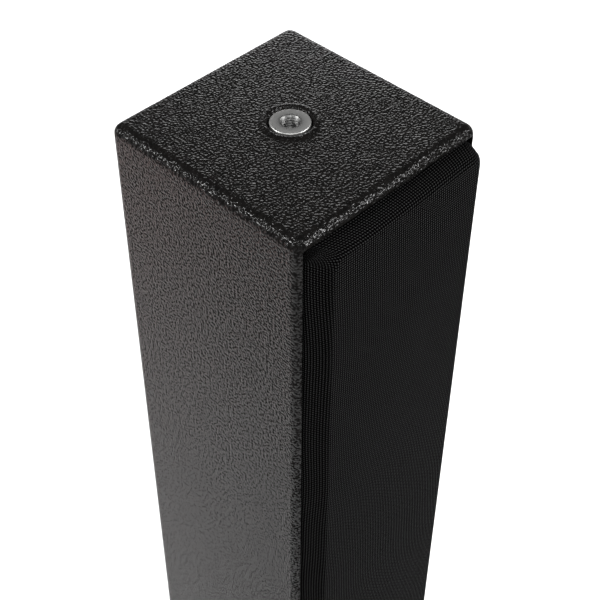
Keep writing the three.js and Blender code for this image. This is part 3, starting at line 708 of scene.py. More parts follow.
def make_boards(prefix, body, cutters):
    """A cabinet's outer boards, cut from one rounded outline so that the paint runs on across joints."""
    boxes = {}
    for side in ("left", "right", "back", "bottom", "top"):
        boxes[f"{prefix}_{side}_panel"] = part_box(f"{prefix}_{side}_panel")
    low = Vector(min(b[0][k] for b in boxes.values()) for k in range(3))
    high = Vector(max(b[1][k] for b in boxes.values()) for k in range(3))
    spare, near = 5 * MM, 0.1 * MM
    for name, (start, end) in boxes.items():
        start, end = start.copy(), end.copy()
        for k in range(3):
            if abs(start[k] - low[k]) < near:
                start[k] -= spare
            if abs(end[k] - high[k]) < near:
                end[k] += spare
        board = block(name + "_board", low, high, EDGE, 6)
        keep(board, block("region", start, end))
        if not name.endswith("back_panel"):
            cut(board, rabbet_cutter(low, high))
        if name in cutters:
            cut(board, cutters[name]())
        finished(board, body, "cabinet_paint", PAINT, name)


def make_cabinets():
    holes = {"column_top_panel": insert_hole_cutter, "column_bottom_panel": plug_cutter}
    make_boards("column", "column", holes)
    holes = {"sub_left_panel": cup_cutter, "sub_right_panel": cup_cutter}
    holes.update({"sub_back_panel": amplifier_cutter, "sub_top_panel": socket_cutter})
    make_boards("sub", "sub_cabinet", holes)


# ---- Grilles ----


def grille_sections(low, high, front):
    """Rings from the back of the rabbet round the front edge, as (y, half width, low, high, run)."""
    side = (high.x - low.x) / 2 - SIDE_LIP - GRILLE_GAP
    bottom = low.z + TOP_LIP + GRILLE_GAP
    top = high.z - TOP_LIP - GRILLE_GAP
    shoulder = front - GRILLE_PROUD + GRILLE_ROUND
    spots = [(front + RABBET - 0.5 * MM, 0.0), (front + 5 * MM, 0.0), (front, 0.0)]
    spots += [(front - 2.5 * MM, 0.0), (shoulder, 0.0)]
    steps = 8
    for i in range(1, steps + 1):
        angle = math.pi / 2 * i / steps
        spots.append((shoulder - GRILLE_ROUND * math.sin(angle), GRILLE_ROUND * (1 - math.cos(angle))))
    rings, run, last = [], 0.0, None
    for y, lean in spots:
        across = GRILLE_SLOPE * max(0.0, front - y) / GRILLE_PROUD + 0.7 * lean
        if last:
            run += math.hypot(y - last[0], across - last[1])
        last = (y, across)
        rings.append((y, side - across, bottom + lean, top - lean, run))
    return rings


def cloth_piece(name, low, high, steps):
    """Cloth over the frame, with the threads' lengths kept as a UV map."""
    sections = grille_sections(low, high, low.y)
    face_y, half, face_low, face_high, run_end = sections[-1]
    rings = [(*section[:4], GRILLE_CORNER, run_end - section[4]) for section in sections]
    face_steps = 8
    for k in range(1, face_steps + 1):
        shrink = (half - 1.5 * MM) * (k / face_steps) ** 1.2
        radius = max(GRILLE_CORNER - shrink, 0.8 * MM)
        rings.append((face_y, half - shrink, face_low + shrink, face_high - shrink, radius, 0.0))
    flat = rounded_rectangle(half, face_low, face_high, GRILLE_CORNER, CORNER_STEPS, steps)
    inner_x = half - GRILLE_CORNER
    inner_low, inner_high = face_low + GRILLE_CORNER, face_high - GRILLE_CORNER

    def outward(x, z):
        """The way from the face's edge at a point, on each axis."""
        nearest = (max(-inner_x, min(inner_x, x)), max(inner_low, min(inner_high, z)))
        return (x - nearest[0]) / GRILLE_CORNER, (z - nearest[1]) / GRILLE_CORNER

    spots, threads = [], []
    for y, half_x, bottom, top, radius, beyond in rings:
        ring = rounded_rectangle(half_x, bottom, top, radius, CORNER_STEPS, steps)
        spots.append([(x, y, z) for x, z in ring])
        if beyond > 0:
            ring = []
            for x, z in flat:
                out_x, out_z = outward(x, z)
                ring.append((x + out_x * beyond, z + out_z * beyond))
        threads += ring
    piece = skin(name, len(flat), spots, caps=(len(spots) - 1,))
    layer = piece.data.uv_layers.new(name="threads")
    for loop in piece.data.loops:
        layer.data[loop.index].uv = threads[loop.vertex_index]
    solid = piece.modifiers.new("thickness", "SOLIDIFY")
    solid.thickness = CLOTH_THICK
    solid.offset = -1
    return applied(piece)


def make_grille(prefix, body, steps):
    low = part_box(f"{prefix}_bottom_panel")[0]
    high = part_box(f"{prefix}_top_panel")[1]
    cloth = cloth_piece(f"{prefix}_cloth", low, high, steps)
    finished(cloth, body, "grille_cloth", CLOTH, f"{prefix}_grille_cloth", angle=60)
    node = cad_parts[f"{prefix}_grille_frame"]
    node.data.materials.clear()
    node.data.materials.append(FRAME_PLASTIC)


# ---- The threaded insert ----

PAINT_COLLAR = [
    (9.2, -1.2), (9.2, -0.3), (9.5, 0.15), (10.1, 0.5), (10.8, 0.55), (11.6, 0.35), (12.4, 0), (12.4, -1.2),
]


def make_insert():
    """A steel insert with a real thread. The bore is a grid whose radius follows the thread's helix."""
    centre = middle("column_top_insert", z=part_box("column_top_insert")[1].z)
    sides, pitch, per_turn = 72, 1.25, 10
    minor, major, mouth, depth, start = 3.4, 4.0, 4.25, 24.0, 0.15
    outer = [(mouth, 0.0), (7.75, 0.0)] + arc((7.75, -0.45), 0.45, 90, 0, 4)
    outer += [(8.2, -12.3), (11.0, -12.3), (11.0, -14.6), (7.2, -14.6), (7.2, -depth), (minor + 0.5, -depth)]
    rows = [[spot] * sides for spot in reversed(outer)]
    steps = int(depth / pitch * per_turn)
    for k in range(steps + 1):
        z = -start - (depth - start) * k / steps
        chamfer = mouth + (z + start) * 0.9
        row = []
        for i in range(sides):
            ridge = 1 - abs(2 * ((z / pitch + i / sides) % 1.0) - 1)
            thread = major - (major - minor) * min(1.0, max(0.0, 1.35 * ridge - 0.15))
            row.append((max(thread, chamfer), z))
        rows.append(row)
    rings = []
    for row in rows:
        ring = []
        for i, (radius, z) in enumerate(row):
            angle = 2 * math.pi * i / sides
            ring.append(centre + mm(radius * math.cos(angle), radius * math.sin(angle), z))
        rings.append(ring)
    piece = skin("threaded_insert", sides, rings, closed=True)
    finished(piece, "column", "insert_steel", STEEL, "column_top_insert", angle=28)
    top = middle("column_top_insert", z=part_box("column_top_panel")[1].z)
    place = (top, "column", "cabinet_paint", PAINT)
    turned_piece("insert_paint_collar", PAINT_COLLAR, *place, axis="Z", sides=72, angle=60)


# ---- Drivers ----

# Baskets and magnets as (radius, depth behind the baffle's front)
SMALL_FRAME = (
    [(33, -2.9)] + arc((33.6, -2.9), 0.6, 180, 270, 3) + arc((38, -2.5), 1.0, 270, 360, 4)
    + [(39, -0.3), (34.5, -0.3), (34.5, 5), (23, 22.5), (12, 22.5), (12, 20.5), (21, 20.5), (33, 4)]
)
SMALL_MAGNET = [
    (0, 22.8), (9.2, 22.8), (9.2, 36), (11.2, 36), (11.2, 22.8), (24.5, 22.8), (25, 23.3),
    (25, 26.3), (27, 26.5), (27, 35.6), (26.6, 36), (25.2, 36.2), (25.2, 39.2), (24.4, 40), (0, 40),
]
BIG_FRAME = (
    [(115, -3.4)] + arc((116.6, -3.4), 1.6, 180, 270, 4) + arc((127.6, -2.6), 2.4, 270, 360, 5)
    + [(130, -0.3), (117, -0.3), (117, 14), (72, 82), (38, 82), (38, 78), (69, 78), (113, 12)]
    + [(113, -2), (115, -2)]
)
BIG_MAGNET = [
    (0, 82.5), (31.4, 82.5), (31.4, 114), (35.4, 114), (35.4, 92), (42, 92), (42, 82.5), (66, 82.5),
    (67, 83.5), (67, 91), (70, 91.6), (70, 112.4), (69, 113.2), (67, 113.8), (67, 122), (64, 126), (0, 126),
]
HORN_MOTOR = [
    (7, 26.3), (16, 26.3), (24, 31.6), (25, 32.6), (25, 40), (24.2, 40.4), (24.2, 41), (25, 41.4),
    (25, 55), (22, 59), (0, 59), (0, 38), (7, 34),
]
PORT_TUBE = [
    (50, -0.3), (50, -1.1), (49.6, -2.1), (48.6, -2.5), (46.4, -2.5), (44.4, -1.8), (42.6, -0.2), (41.2, 2.2),
    (40.3, 5.4), (40, 9), (40, 117.6), (40.4, 118), (42.1, 118), (42.5, 117.6), (42.5, -0.3),
]
DRIVERS = [f"driver_{i}" for i in range(1, 7)]


def on_baffle(node, baffle):
    """The spot on a baffle's front where a driver or port is fixed."""
    return middle(node, y=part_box(baffle)[0].y)


def cross_windows(basket, centre, start, end, width, reach):
    """Cuts four windows through a basket's wall with two crossed bars."""
    for x, z in ((reach, width / 2), (width / 2, reach)):
        cut(basket, block_at("window", centre, (-x, start, -z), (x, end, z), 1.2))


def half_roll(inner, outer, rise, base, thick):
    """The profile of a surround: a half roll between two radii, with a flat lip on each side."""
    centre, reach = (inner + outer) / 2, (outer - inner) / 2
    angles = [math.pi * i / 12 for i in range(13)]

    def roll(half, high):
        return [(centre - half * math.cos(a), base - high * math.sin(a)) for a in angles]

    under = list(reversed(roll(reach - thick, rise - thick)))
    outer_lip = [(outer, base + thick), (outer - thick, base + thick)]
    inner_lip = [(inner + thick, base + thick), (inner, base + thick)]
    return roll(reach, rise) + outer_lip + under + inner_lip


def diaphragm_profile(cap, cap_rise, cap_y, edge, edge_y, wall, coil, coil_end, ribs=0):
    """A cone with a domed dust cap, and its coil former behind it."""
    cap_steps = 8
    front = []
    for i in range(cap_steps + 1):
        r = cap * i / cap_steps
        front.append((r, cap_y - cap_rise * (1 - (r / cap) ** 2)))
    front.append((cap + 0.05, cap_y + 0.25))
    steps = 8 * (ribs + 1)
    for i in range(1, steps + 1):
        t = i / steps
        bulge = 0.9 * wall * (1 - math.cos(2 * math.pi * ribs * t)) if ribs else 0
        r = cap + 0.3 + (edge - cap - 0.3) * t
        front.append((r, cap_y + (edge_y - cap_y) * t**0.94 - bulge))
    back = [(r, y + wall) for r, y in reversed(front[cap_steps + 2 :])]
    back += [(coil + 0.6, cap_y + wall + 0.8), (coil + 0.6, coil_end), (coil, coil_end)]
    back += [(coil, cap_y + wall + 0.8), (0, cap_y - cap_rise + wall)]
    return front + back


def make_driver(name, body, baffle, frame_profile, magnet_profile, windows, cone, surround, sides):
    """A basket, magnet, cone and surround on a baffle. Returns the spot they are centred on."""
    centre = on_baffle(f"{name}_frame", baffle)
    basket = turned(f"{name}_basket", frame_profile, centre, sides=sides)
    cross_windows(basket, centre, *windows)
    finished(basket, body, "driver_basket", BASKET, f"{name}_frame")
    place = (centre, body, "driver_magnet", MAGNET)
    turned_piece(f"{name}_magnet_rings", magnet_profile, *place, f"{name}_magnet", sides=sides)
    place = (centre, f"{name}_diaphragm", "driver_cone")
    turned_piece(f"{name}_paper_cone", cone, *place, CONE, f"{name}_cone", sides=sides, angle=50)
    turned_piece(f"{name}_surround", surround, *place, RUBBER, sides=sides, angle=60)
    return centre


def make_drivers():
    cone = diaphragm_profile(10, 4.1, 12.6, 28, -0.1, 0.7, 9.8, 30)
    surround = half_roll(27.7, 32.4, 2.4, -0.2, 0.45)
    windows = (10.5, 18.5, 14, 60)
    shapes = (SMALL_FRAME, SMALL_MAGNET, windows, cone, surround, 64)
    spots = []
    for name in DRIVERS:
        centre = make_driver(name, "column", "column_baffle", *shapes)
        spots += upright(centre, corners(25.7, 25.7), -3.5)
    screws("driver_screws", spots, "Y", -1, 1.9, "driver_basket", "column")


def make_horn():
    centre = on_baffle("tweeter_horn", "column_baffle")
    low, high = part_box("tweeter_horn")
    plate = block("horn_plate", low, (high.x, centre.y + 6 * MM, high.z), 2.4 * MM, 5)
    keep(plate, block("region", low - mm(1, 1, 1), (high.x + 1, centre.y - 0.3 * MM, high.z + 1)))
    cut(plate, cylinder(31.8, -8, 4, centre, sides=96))
    mouth, throat, start, depth, steps = 31, 7, -3.5, 29.5, 14
    inside = []
    for i in range(steps + 1):
        t = i / steps
        inside.append((mouth - (mouth - throat) * math.sin(t * math.pi / 2), start + t * depth))
    outside = [(min(r + 1.6, 32.4), y) for r, y in inside]
    lip = arc((31.7, -2.8), 0.7, 180, 300, 5)
    add(plate, turned("flare", lip + outside[1:] + list(reversed(inside[1:])), centre, sides=96))
    finished(plate, "column", "black_plastic", PLASTIC, "tweeter_horn", angle=40)
    place = (centre, "column", "driver_magnet", MAGNET)
    turned_piece("tweeter_motor_can", HORN_MOTOR, *place, "tweeter_motor")
    spots = upright(centre, corners(33.8, 35.2), -3.5)
    screws("horn_screws", spots, "Y", -1, 2.0, "black_plastic", "column")


def make_woofer():
    cone = diaphragm_profile(38, 10, 44, 98.4, 1.6, 1.6, 32.8, 104, ribs=3)
    surround = half_roll(98, 112, 6.4, 2, 1.1)
    windows = (40, 70, 44, 170)
    shapes = (BIG_FRAME, BIG_MAGNET, windows, cone, surround, 96)
    centre = make_driver("woofer", "sub_cabinet", "sub_baffle", *shapes)
    spots = upright(centre, on_circle(122.5, 8, math.pi / 8), -5)
    screws("woofer_screws", spots, "Y", -1, 3.4, "driver_basket", "sub_cabinet")
    place = (on_baffle("sub_port_tube", "sub_baffle"), "sub_cabinet", "black_plastic", PLASTIC)
    turned_piece("port_tube", PORT_TUBE, *place, "sub_port_tube", sides=96)


def make_baffle(prefix, body, openings, peg_x, peg_heights):
    """A painted board with round openings for some nodes, and four holes for the grille's pegs."""
    baffle = f"{prefix}_baffle"
    low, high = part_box(baffle)
    board = block(f"{baffle}_board", low, high)
    cutters = [cylinder(r, -2, 30, on_baffle(node, baffle), sides=72) for node, r in openings]
    for x in (-peg_x, peg_x):
        for z in peg_heights:
            cutters.append(cylinder(3.3, -2, 30, Vector((x * MM, low.y, z * MM)), sides=24))
    cut(board, joined("cut", cutters))
    finished(board, body, "baffle_paint", BAFFLE, baffle)


def make_baffles():
    openings = [(f"{name}_frame", 35) for name in DRIVERS] + [("tweeter_horn", 33.1)]
    make_baffle("column", "column", openings, 36, (1159, 723))
    make_baffle("sub", "sub_cabinet", [("woofer_frame", 118), ("sub_port_tube", 43)], 139, (57, 412))


# ---- The amplifier's panel ----

KNOBS = ("input_1_knob", "input_2_knob", "master_knob")
SOCKETS = ("input_1_socket", "input_2_socket")
DIAL_TURN = 150  # degrees each way
DIAL_NUMBERS = 11


def on_panel(node):
    """The spot on the amplifier panel's face behind which a node is fixed."""
    return middle(node, y=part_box("amplifier_plate")[1].y)


def slab(name, low_points, high_points):
    """A four-sided slab between two matching outlines."""
    sides = [(i, i + 4, (i + 1) % 4 + 4, (i + 1) % 4) for i in range(4)]
    return mesh_piece(name, low_points + high_points, [(0, 1, 2, 3), (7, 6, 5, 4)] + sides)


def printed_line(centre, start, end, width=0.5):
    """A printed line on the back panel, from start to end in millimetres from centre."""
    start, end = Vector((start[0], 0, start[1])), Vector((end[0], 0, end[1]))
    along = end - start
    across = Vector((along.z, 0, -along.x)).normalized() * width / 2
    outline = [start - across, start + across, end + across, end - across]
    layers = [[centre + (p + Vector((0, y, 0))) * MM for p in outline] for y in (0, 0.06)]
    return slab("tick", *layers)


def numeral(text, centre, size):
    """A printed number on the back panel, read from behind."""
    curve = bpy.data.curves.new("numeral", "FONT")
    curve.body = text
    curve.size = size * MM
    curve.extrude = 0.03 * MM
    curve.align_x = "CENTER"
    curve.align_y = "CENTER"
    written = placed("numeral", curve)
    mesh = as_mesh(written)
    bpy.data.objects.remove(written)
    turn = Matrix(((-1, 0, 0), (0, 0, 1), (0, 1, 0))).to_4x4()
    mesh.transform(Matrix.Translation(centre) @ turn)
    return placed("numeral", mesh)


def make_dial_marks():
    tick_start, tick_end, number_at = 12.6, 14.8, 17.6
    marks = []
    for name in KNOBS:
        centre = on_panel(name)
        for n in range(DIAL_NUMBERS):
            angle = math.radians(2 * DIAL_TURN * n / (DIAL_NUMBERS - 1) - DIAL_TURN)
            x, z = -math.sin(angle), math.cos(angle)
            ends = [(r * x, r * z) for r in (tick_start, tick_end)]
            marks.append(printed_line(centre, *ends))
            marks.append(numeral(str(n), centre + mm(number_at * x, 0.03, number_at * z), 4.0))
    finished(joined("dial_marks", marks), "sub_cabinet", "amplifier_panel", PRINT)


def make_knob(name):
    """A fluted knob with a white pointer, on its shaft."""
    centre = on_panel(name)
    flutes = 18

    def fluted(radius, depth):
        return lambda angle: radius - depth * (0.5 + 0.5 * math.cos(flutes * angle)) ** 2

    profile = [(0, -14), (2.6, -14), (3, -13.6), (3, 1), (9.6, 1), (10, 1.4), (10, 2.6), (9.4, 3.2)]
    profile += [(fluted(8.5, 0.1), 4.2), (fluted(8.3, 0.9), 5.2), (fluted(7.7, 0.9), 11.8)]
    profile += [(fluted(7.3, 0.5), 12.9), (6.7, 13.5), (6.0, 13.8), (5.4, 13.5), (0, 13.3)]
    place = (centre, name, "black_plastic", PLASTIC)
    turned_piece(name + "_cap", profile, *place, name, sides=144, angle=32)
    line = block_at("line", centre, (-0.55, 13.2, 1.6), (0.55, 13.95, 7.2), 0.2, 2)
    dot = block_at("dot", centre, (-0.55, 2.0, 8.9), (0.55, 3.0, 9.9), 0.15, 2)
    finished(joined(name + "_pointer", [line, dot]), name, "black_plastic", PRINT)


def make_socket(name):
    """A combination socket: square flange, round body, ring groove, pin holes and a metal latch."""
    centre = on_panel(name)
    flange = block_at(name + "_flange", centre, (-13, -5.7, -15.5), (13, 2, 15.5), 1.6, 4)
    keep(flange, block_at("region", centre, (-14, 0.3, -16.5), (14, 3, 16.5)))
    add(flange, cylinder(12, -24, 1, centre, sides=64))
    cut(flange, turned("cut", [(7.8, 4), (9.7, 4), (9.7, -15), (7.8, -15)], centre))
    cuts = [cylinder(3.4, -22, 4, centre, sides=40)]
    for spot in upright(centre, on_circle(5.6, 3, math.pi / 2), 0):
        cuts.append(cylinder(1.1, -18, 4, spot, sides=20))
    cut(flange, joined("cut", cuts))
    finished(flange, "sub_cabinet", "black_plastic", PLASTIC, name, angle=32)
    latch = block_at(name + "_latch", centre, (-2.4, 1.8, 10.2), (2.4, 2.9, 13.6), 0.5)
    finished(latch, "sub_cabinet", "black_plastic", NICKEL)
    bushing = [(3.3, -12), (3.3, 2.15), (4.3, 2.15), (4.3, -12)]
    turned_piece(name + "_bushing", bushing, centre, "sub_cabinet", "black_plastic", NICKEL, sides=48)
    spots = upright(centre, ((-10.2, 12.4), (10.2, -12.4)), 2)
    screws(name + "_screws", spots, "Y", 1, 1.7, "black_plastic", "sub_cabinet")


def make_inlet():
    """A mains inlet with three flat pins, and the frame of its switch."""
    centre = on_panel("mains_inlet")
    inlet = block_at("inlet_body", centre, (-28, -8, -18), (28, 2.5, 18), 1.8)
    keep(inlet, block_at("region", centre, (-40, 0.3, -30), (40, 5, 30)))
    add(inlet, block_at("well", centre, (-24, -28, -14), (24, 1, 14)))
    cut(inlet, block_at("cut", centre, (-21.5, -17, -9), (3.5, 9, 9), 2.4))
    cut(inlet, block_at("cut", centre, (6.5, -14, -10.5), (21.5, 5, 10.5)))
    finished(inlet, "sub_cabinet", "black_plastic", PLASTIC, "mains_inlet", angle=32)
    pins = []
    for x, z in ((-16, -1), (-2, -1), (-9, 2.5)):
        pins.append(block_at("pin", centre, (x - 1, -17.5, z - 2), (x + 1, -4, z + 2), 0.5))
    finished(joined("inlet_pins", pins), "sub_cabinet", "black_plastic", NICKEL)
    spots = upright(centre, ((-25.2, 15.2), (25.2, 15.2)), 2.5)
    screws("inlet_screws", spots, "Y", 1, 1.7, "black_plastic", "sub_cabinet")


def make_rocker():
    """The dished key of the power switch, turned out at its top, with a bar and a ring printed on it."""
    pivot = on_panel("mains_inlet") + mm(14, 0, 0)
    tilt = Matrix.Rotation(math.radians(-10), 3, "X")
    half_height, proud, dish, steps = 9.4, 4.2, 2, 16

    def at(x, y, z):
        return pivot + tilt @ Vector((x, y, z)) * MM

    def face(t):
        """How proud the key is, from its bottom (0) to its top (1)."""
        return proud - dish * math.sin(t * math.pi)

    profile = [(-5, -8.9), (-5, 8.9)]
    for i in range(steps + 1):
        t = 1 - i / steps
        profile.append((face(t), -half_height * (1 - 2 * t)))
    rings = []
    for x, inset in ((-6.7, 0.35), (-6.35, 0.0), (6.35, 0.0), (6.7, 0.35)):
        rings.append([at(x, y - inset * (y > 0), z * (1 - inset / 20)) for y, z in profile])
    key = skin("rocker_key", len(profile), rings, caps=(0, 3))
    finished(key, "power_rocker", "black_plastic", GLOSS_PLASTIC, "power_rocker", angle=30)

    def on_key(x, z, lift):
        return at(x, face((1 + z / half_height) / 2) + lift, z)

    lifts = (-0.1, 0.07)
    bar = [(-0.3, 3.6), (0.3, 3.6), (0.3, 6.6), (-0.3, 6.6)]
    marks = [slab("bar", *([on_key(x, z, lift) for x, z in bar] for lift in lifts))]
    count, ring_z = 32, -5.1
    rings = []
    for radius, lift in ((1.2, lifts[0]), (1.2, lifts[1]), (1.7, lifts[1]), (1.7, lifts[0])):
        rings.append([on_key(x, ring_z + z, lift) for x, z in on_circle(radius, count, 0)])
    marks.append(skin("ring", count, rings, closed=True))
    finished(joined("rocker_marks", marks), "power_rocker", "black_plastic", PRINT)


def make_panel():
    low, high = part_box("amplifier_plate")
    plate = block("amplifier_panel_sheet", low - mm(0, 3, 0), high, 1.2 * MM)
    keep(plate, block("region", low - mm(1, 0, 1), high + mm(1, 1, 1)))
    cuts = [cylinder(3.5, -6, 3, on_panel(name), sides=32) for name in KNOBS]
    cuts += [cylinder(12.5, -6, 3, on_panel(name), sides=64) for name in SOCKETS]
    cuts.append(block_at("cut", on_panel("mains_inlet"), (-24.5, -6, -14.5), (24.5, 3, 14.5)))
    cut(plate, joined("cut", cuts))
    finished(plate, "sub_cabinet", "amplifier_panel", PANEL, "amplifier_plate")
    make_dial_marks()
    pairs = corners(107.5, 117) + corners(107.5, 40) + corners(36, 117.5)
    spots = upright(on_panel("amplifier_plate"), pairs, 0)
    screws("panel_screws", spots, "Y", 1, 2.9, "amplifier_panel", "sub_cabinet")
    for name in KNOBS:
        make_knob(name)
    for name in SOCKETS:
        make_socket(name)
    make_inlet()
    make_rocker()


# ---- Handles, dock and feet ----

FOOT = [
    (0, 3), (6.6, 3), (7, 2.6), (7, 0.4), (7.4, 0), (15, 0), (16.2, 0.3), (17, 1.2),
    (18.7, 10.6), (18.6, 11.3), (18.2, 11.7), (0, 11.7),
]
CONTACTS = (-15, -5, 5, 15)


def make_handle_cups():
    for name, side in (("left_handle_cup", -1), ("right_handle_cup", 1)):
        low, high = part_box(name)
        centre = middle(name)
        centre.x = high.x if side > 0 else low.x

        def part(inner, outer, half_y, half_z, radius, steps=5):
            """A block from inner to outer, both in millimetres inwards from the cup's rim."""
            ends = sorted((-side * inner, -side * outer))
            start, end = (ends[0], -half_y, -half_z), (ends[1], half_y, half_z)
            return block_at(name + "_shell", centre, start, end, radius, steps)

        cup = part(12, 0, 74, 48, 2.6)
        keep(cup, part(3, -5, 90, 60, 0))
        add(cup, part(47, 2, 62, 36, 3))
        cut(cup, part(44, -40, 59, 33, 11, 8))
        finished(cup, "sub_cabinet", "black_plastic", PLASTIC, name, angle=40)
        spots = [centre + mm(0, a, b) for a, b in corners(66.8, 40.8)]
        screws(name + "_screws", spots, "X", side, 2.6, "black_plastic", "sub_cabinet")


def make_dock():
    low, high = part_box("sub_dock_socket")
    top = Vector((0, 0, high.z))
    floor = Vector((0, 0, low.z + 3 * MM))
    well_depth = (top - floor).z / MM
    socket = block("dock_flange", (low.x, low.y, top.z - 12 * MM), high, 1.8 * MM)
    keep(socket, block("region", (low.x - 0.01, low.y - 0.01, top.z - 2.4 * MM), high + mm(1, 1, 1)))
    add(socket, block_at("well", floor, (-34, -24, -3), (34, 24, well_depth - 1), 1, 2))
    cut(socket, block_at("cut", floor, (-31, -21, 0), (31, 21, well_depth + 5), 2.4, 4))
    add(socket, block_at("tongue", floor, (-18, -3, -1), (18, 3, 4), 0.4, 2))
    finished(socket, "sub_cabinet", "black_plastic", PLASTIC, "sub_dock_socket")
    strips = []
    for x in CONTACTS:
        strips.append(block_at("strip", floor, (x - 1.4, -3.15, 0.6), (x + 1.4, 3.15, 4.1), 0.1, 1))
    finished(joined("dock_contacts", strips), "sub_cabinet", "black_plastic", COPPER)
    spots = [top + mm(a, b, 0) for a, b in corners(55.2, 34)]
    screws("dock_screws", spots, "Z", 1, 2.3, "black_plastic", "sub_cabinet")

    low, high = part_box("column_dock_plug")
    end = Vector((0, 0, low.z))
    base = Vector((0, 0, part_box("column_bottom_panel")[0].z))
    length = (base - end).z / MM
    plug = block_at("dock_plug_body", end, (-30, -20, 0), (30, 20, length + 30), 2.6, 4)
    keep(plug, block_at("region", end, (-100, -100, -10), (100, 100, length + 20)))
    flange = (low.x, low.y, base.z + 12.3 * MM), (high.x, high.y, base.z + 16 * MM)
    add(plug, block("flange", *flange, 0.8 * MM, 2))
    cut(plug, block_at("bay", end, (-20, -8, -10), (20, 8, 12)))
    finished(plug, "column", "black_plastic", PLASTIC, "column_dock_plug")
    blades = []
    for x in CONTACTS:
        for near, far in ((-4.0, -3.2), (3.2, 4.0)):
            blades.append(block_at("blade", end, (x - 1.5, near, 2), (x + 1.5, far, 12.4), 0.2, 2))
    finished(joined("plug_contacts", blades), "column", "black_plastic", COPPER)


def make_feet():
    for name in ("front_left_foot", "front_right_foot", "rear_left_foot", "rear_right_foot"):
        centre = middle(name, z=0)
        place = (centre, "sub_cabinet", "foot_rubber", RUBBER)
        turned_piece(name + "_rubber", FOOT, *place, name, axis="Z", sides=72)
        screws(name + "_screw", [centre + mm(0, 0, 3)], "Z", -1, 3.4, "foot_rubber", "sub_cabinet")


# ---- Boards and heatsink ----

# Profiles standing on a board, as (radius, height towards -Y)
TOROID_HUB = [(0, -0.2), (7.5, -0.2), (7.5, -30), (8.8, -31), (8.8, -33.8), (0, -33.8)]
TOROID_WINDING = [
    (9, -6), (12, -1), (20, -0.4), (23, -3), (24, -8), (24, -26), (23, -31), (20, -33.6), (12, -33), (9, -28),
]
CAPACITOR_SLEEVE = [
    (0, -0.2), (10.4, -0.2), (11, -0.8), (11, -2.6), (10.3, -3.2), (10.3, -3.8), (11, -4.4),
    (11, -29.2), (10.6, -29.8), (9.2, -29.9), (9.2, -29.2), (0, -29.2),
]
CAPACITOR_LID = [(0, -29.1), (9.1, -29.1), (9.1, -29.6), (0, -29.6)]
SOLDER = [(0, 2.4), (0.5, 2.2), (1.1, 1.6), (1.1, 1.5), (0, 1.5)]
BOARD_THICK = 1.6
# Chips and other flat components, as (x, z, half width, half height, depth)
CHIPS = (
    (-50, 150, 10, 7, 3), (-20, 150, 7, 7, 2.4), (5, 168, 12, 5, 4), (-60, 180, 9, 9, 3), (40, 60, 14, 6, 5),
    (-40, 70, 6, 4, 3), (-20, 70, 6, 4, 3), (0, 70, 6, 4, 3), (60, 185, 12, 8, 9),
)


def circuit_board(node, body, face, posts, solder):
    """A board facing -Y at y = face, its posts as (x, z, radius, end) and the solder dots on its back."""
    low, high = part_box(node)
    top = face + BOARD_THICK * MM
    board = block(node + "_sheet", (low.x, face, low.z), (high.x, top, high.z), 0.3 * MM, 2)
    cut(board, joined("cut", [cylinder(1.6, -2, 4, Vector((x, face, z)), sides=20) for x, z, _, _ in posts]))
    finished(board, body, "circuit_board", BOARD, node)
    sleeves, heads = [], []
    for x, z, radius, end in posts:
        reach = (end - face) / MM
        spot = Vector((x, face, z))
        profile = [(1.4, BOARD_THICK), (radius - 0.3, BOARD_THICK), (radius, BOARD_THICK + 0.3)]
        profile += [(radius, reach - 0.3), (radius - 0.3, reach), (1.4, reach)]
        sleeves.append(turned("post", profile, spot, sides=24))
        heads.append(screw(spot, "Y", -1, 2.4))
    finished(joined(node + "_posts", sleeves), body, "circuit_board", NICKEL)
    finished(joined(node + "_screws", heads), body, "circuit_board", ZINC)
    dots = [turned("dot", SOLDER, Vector((x, face, z)), sides=12) for x, z in solder]
    finished(joined(node + "_solder", dots), body, "circuit_board", NICKEL)


def coil(name, spot, radius, height):
    """An air-cored coil: a black bobbin with copper wire between its flanges."""
    flange, foot, wire_thick = 1.4, 0.2, 0.9
    bore, groove, inside = 0.32 * radius, 0.42 * radius, 0.43 * radius
    between, crest = 0.9 * radius, 0.94 * radius
    rim = [(radius, -foot), (radius, -flange), (groove, -flange), (groove, flange - height)]
    rim += [(radius, flange - height), (radius, -height), (bore, -height), (bore, -foot)]
    place = (spot, "column", "circuit_board")
    turned_piece(name + "_bobbin", rim, *place, PLASTIC, sides=48, angle=30)
    start, length = -1.5, height - 3
    turns = int(length / wire_thick)
    step = length / turns
    wire = [(inside, start)]
    for i in range(turns):
        y = start - (i + 0.5) * step
        wire += [(between, y + 0.45 * step), (crest, y), (between, y - 0.45 * step)]
    wire.append((inside, start - length))
    turned_piece(name + "_wire", wire, *place, WINDING, sides=48, angle=70)


def make_crossover():
    low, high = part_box("column_crossover_board")
    face = Vector((0, high.y - 8 * MM, low.z - 30 * MM))
    posts = [(x * MM, face.z + z * MM, 3.0, high.y) for x in (-26, 26) for z in (38, 142)]
    pins = [(-8, 58), (8, 58), (-19, 96), (-9, 96)]
    pins += [(7, 91), (23, 91), (7, 110), (23, 110), (-23, 128), (7, 128)]
    solder = [(x * MM, face.z + z * MM) for x, z in pins]
    circuit_board("column_crossover_board", "column", face.y, posts, solder)
    coil("large_coil", face + mm(0, 0, 58), 14, 16)
    coil("small_coil", face + mm(-14, 0, 96), 10, 14)
    for name, x, z, height, material in (
        ("film_capacitor_1", (4, 26), (84, 98), 12, FILM),
        ("film_capacitor_2", (4, 26), (104, 116), 10, FILM),
        ("crossover_resistor", (-26, 10), (124, 132), 8, CERAMIC),
    ):
        piece = block_at(name, face, (x[0], -height, z[0]), (x[1], -0.2, z[1]), 1.2, 4)
        finished(piece, "column", "circuit_board", material)


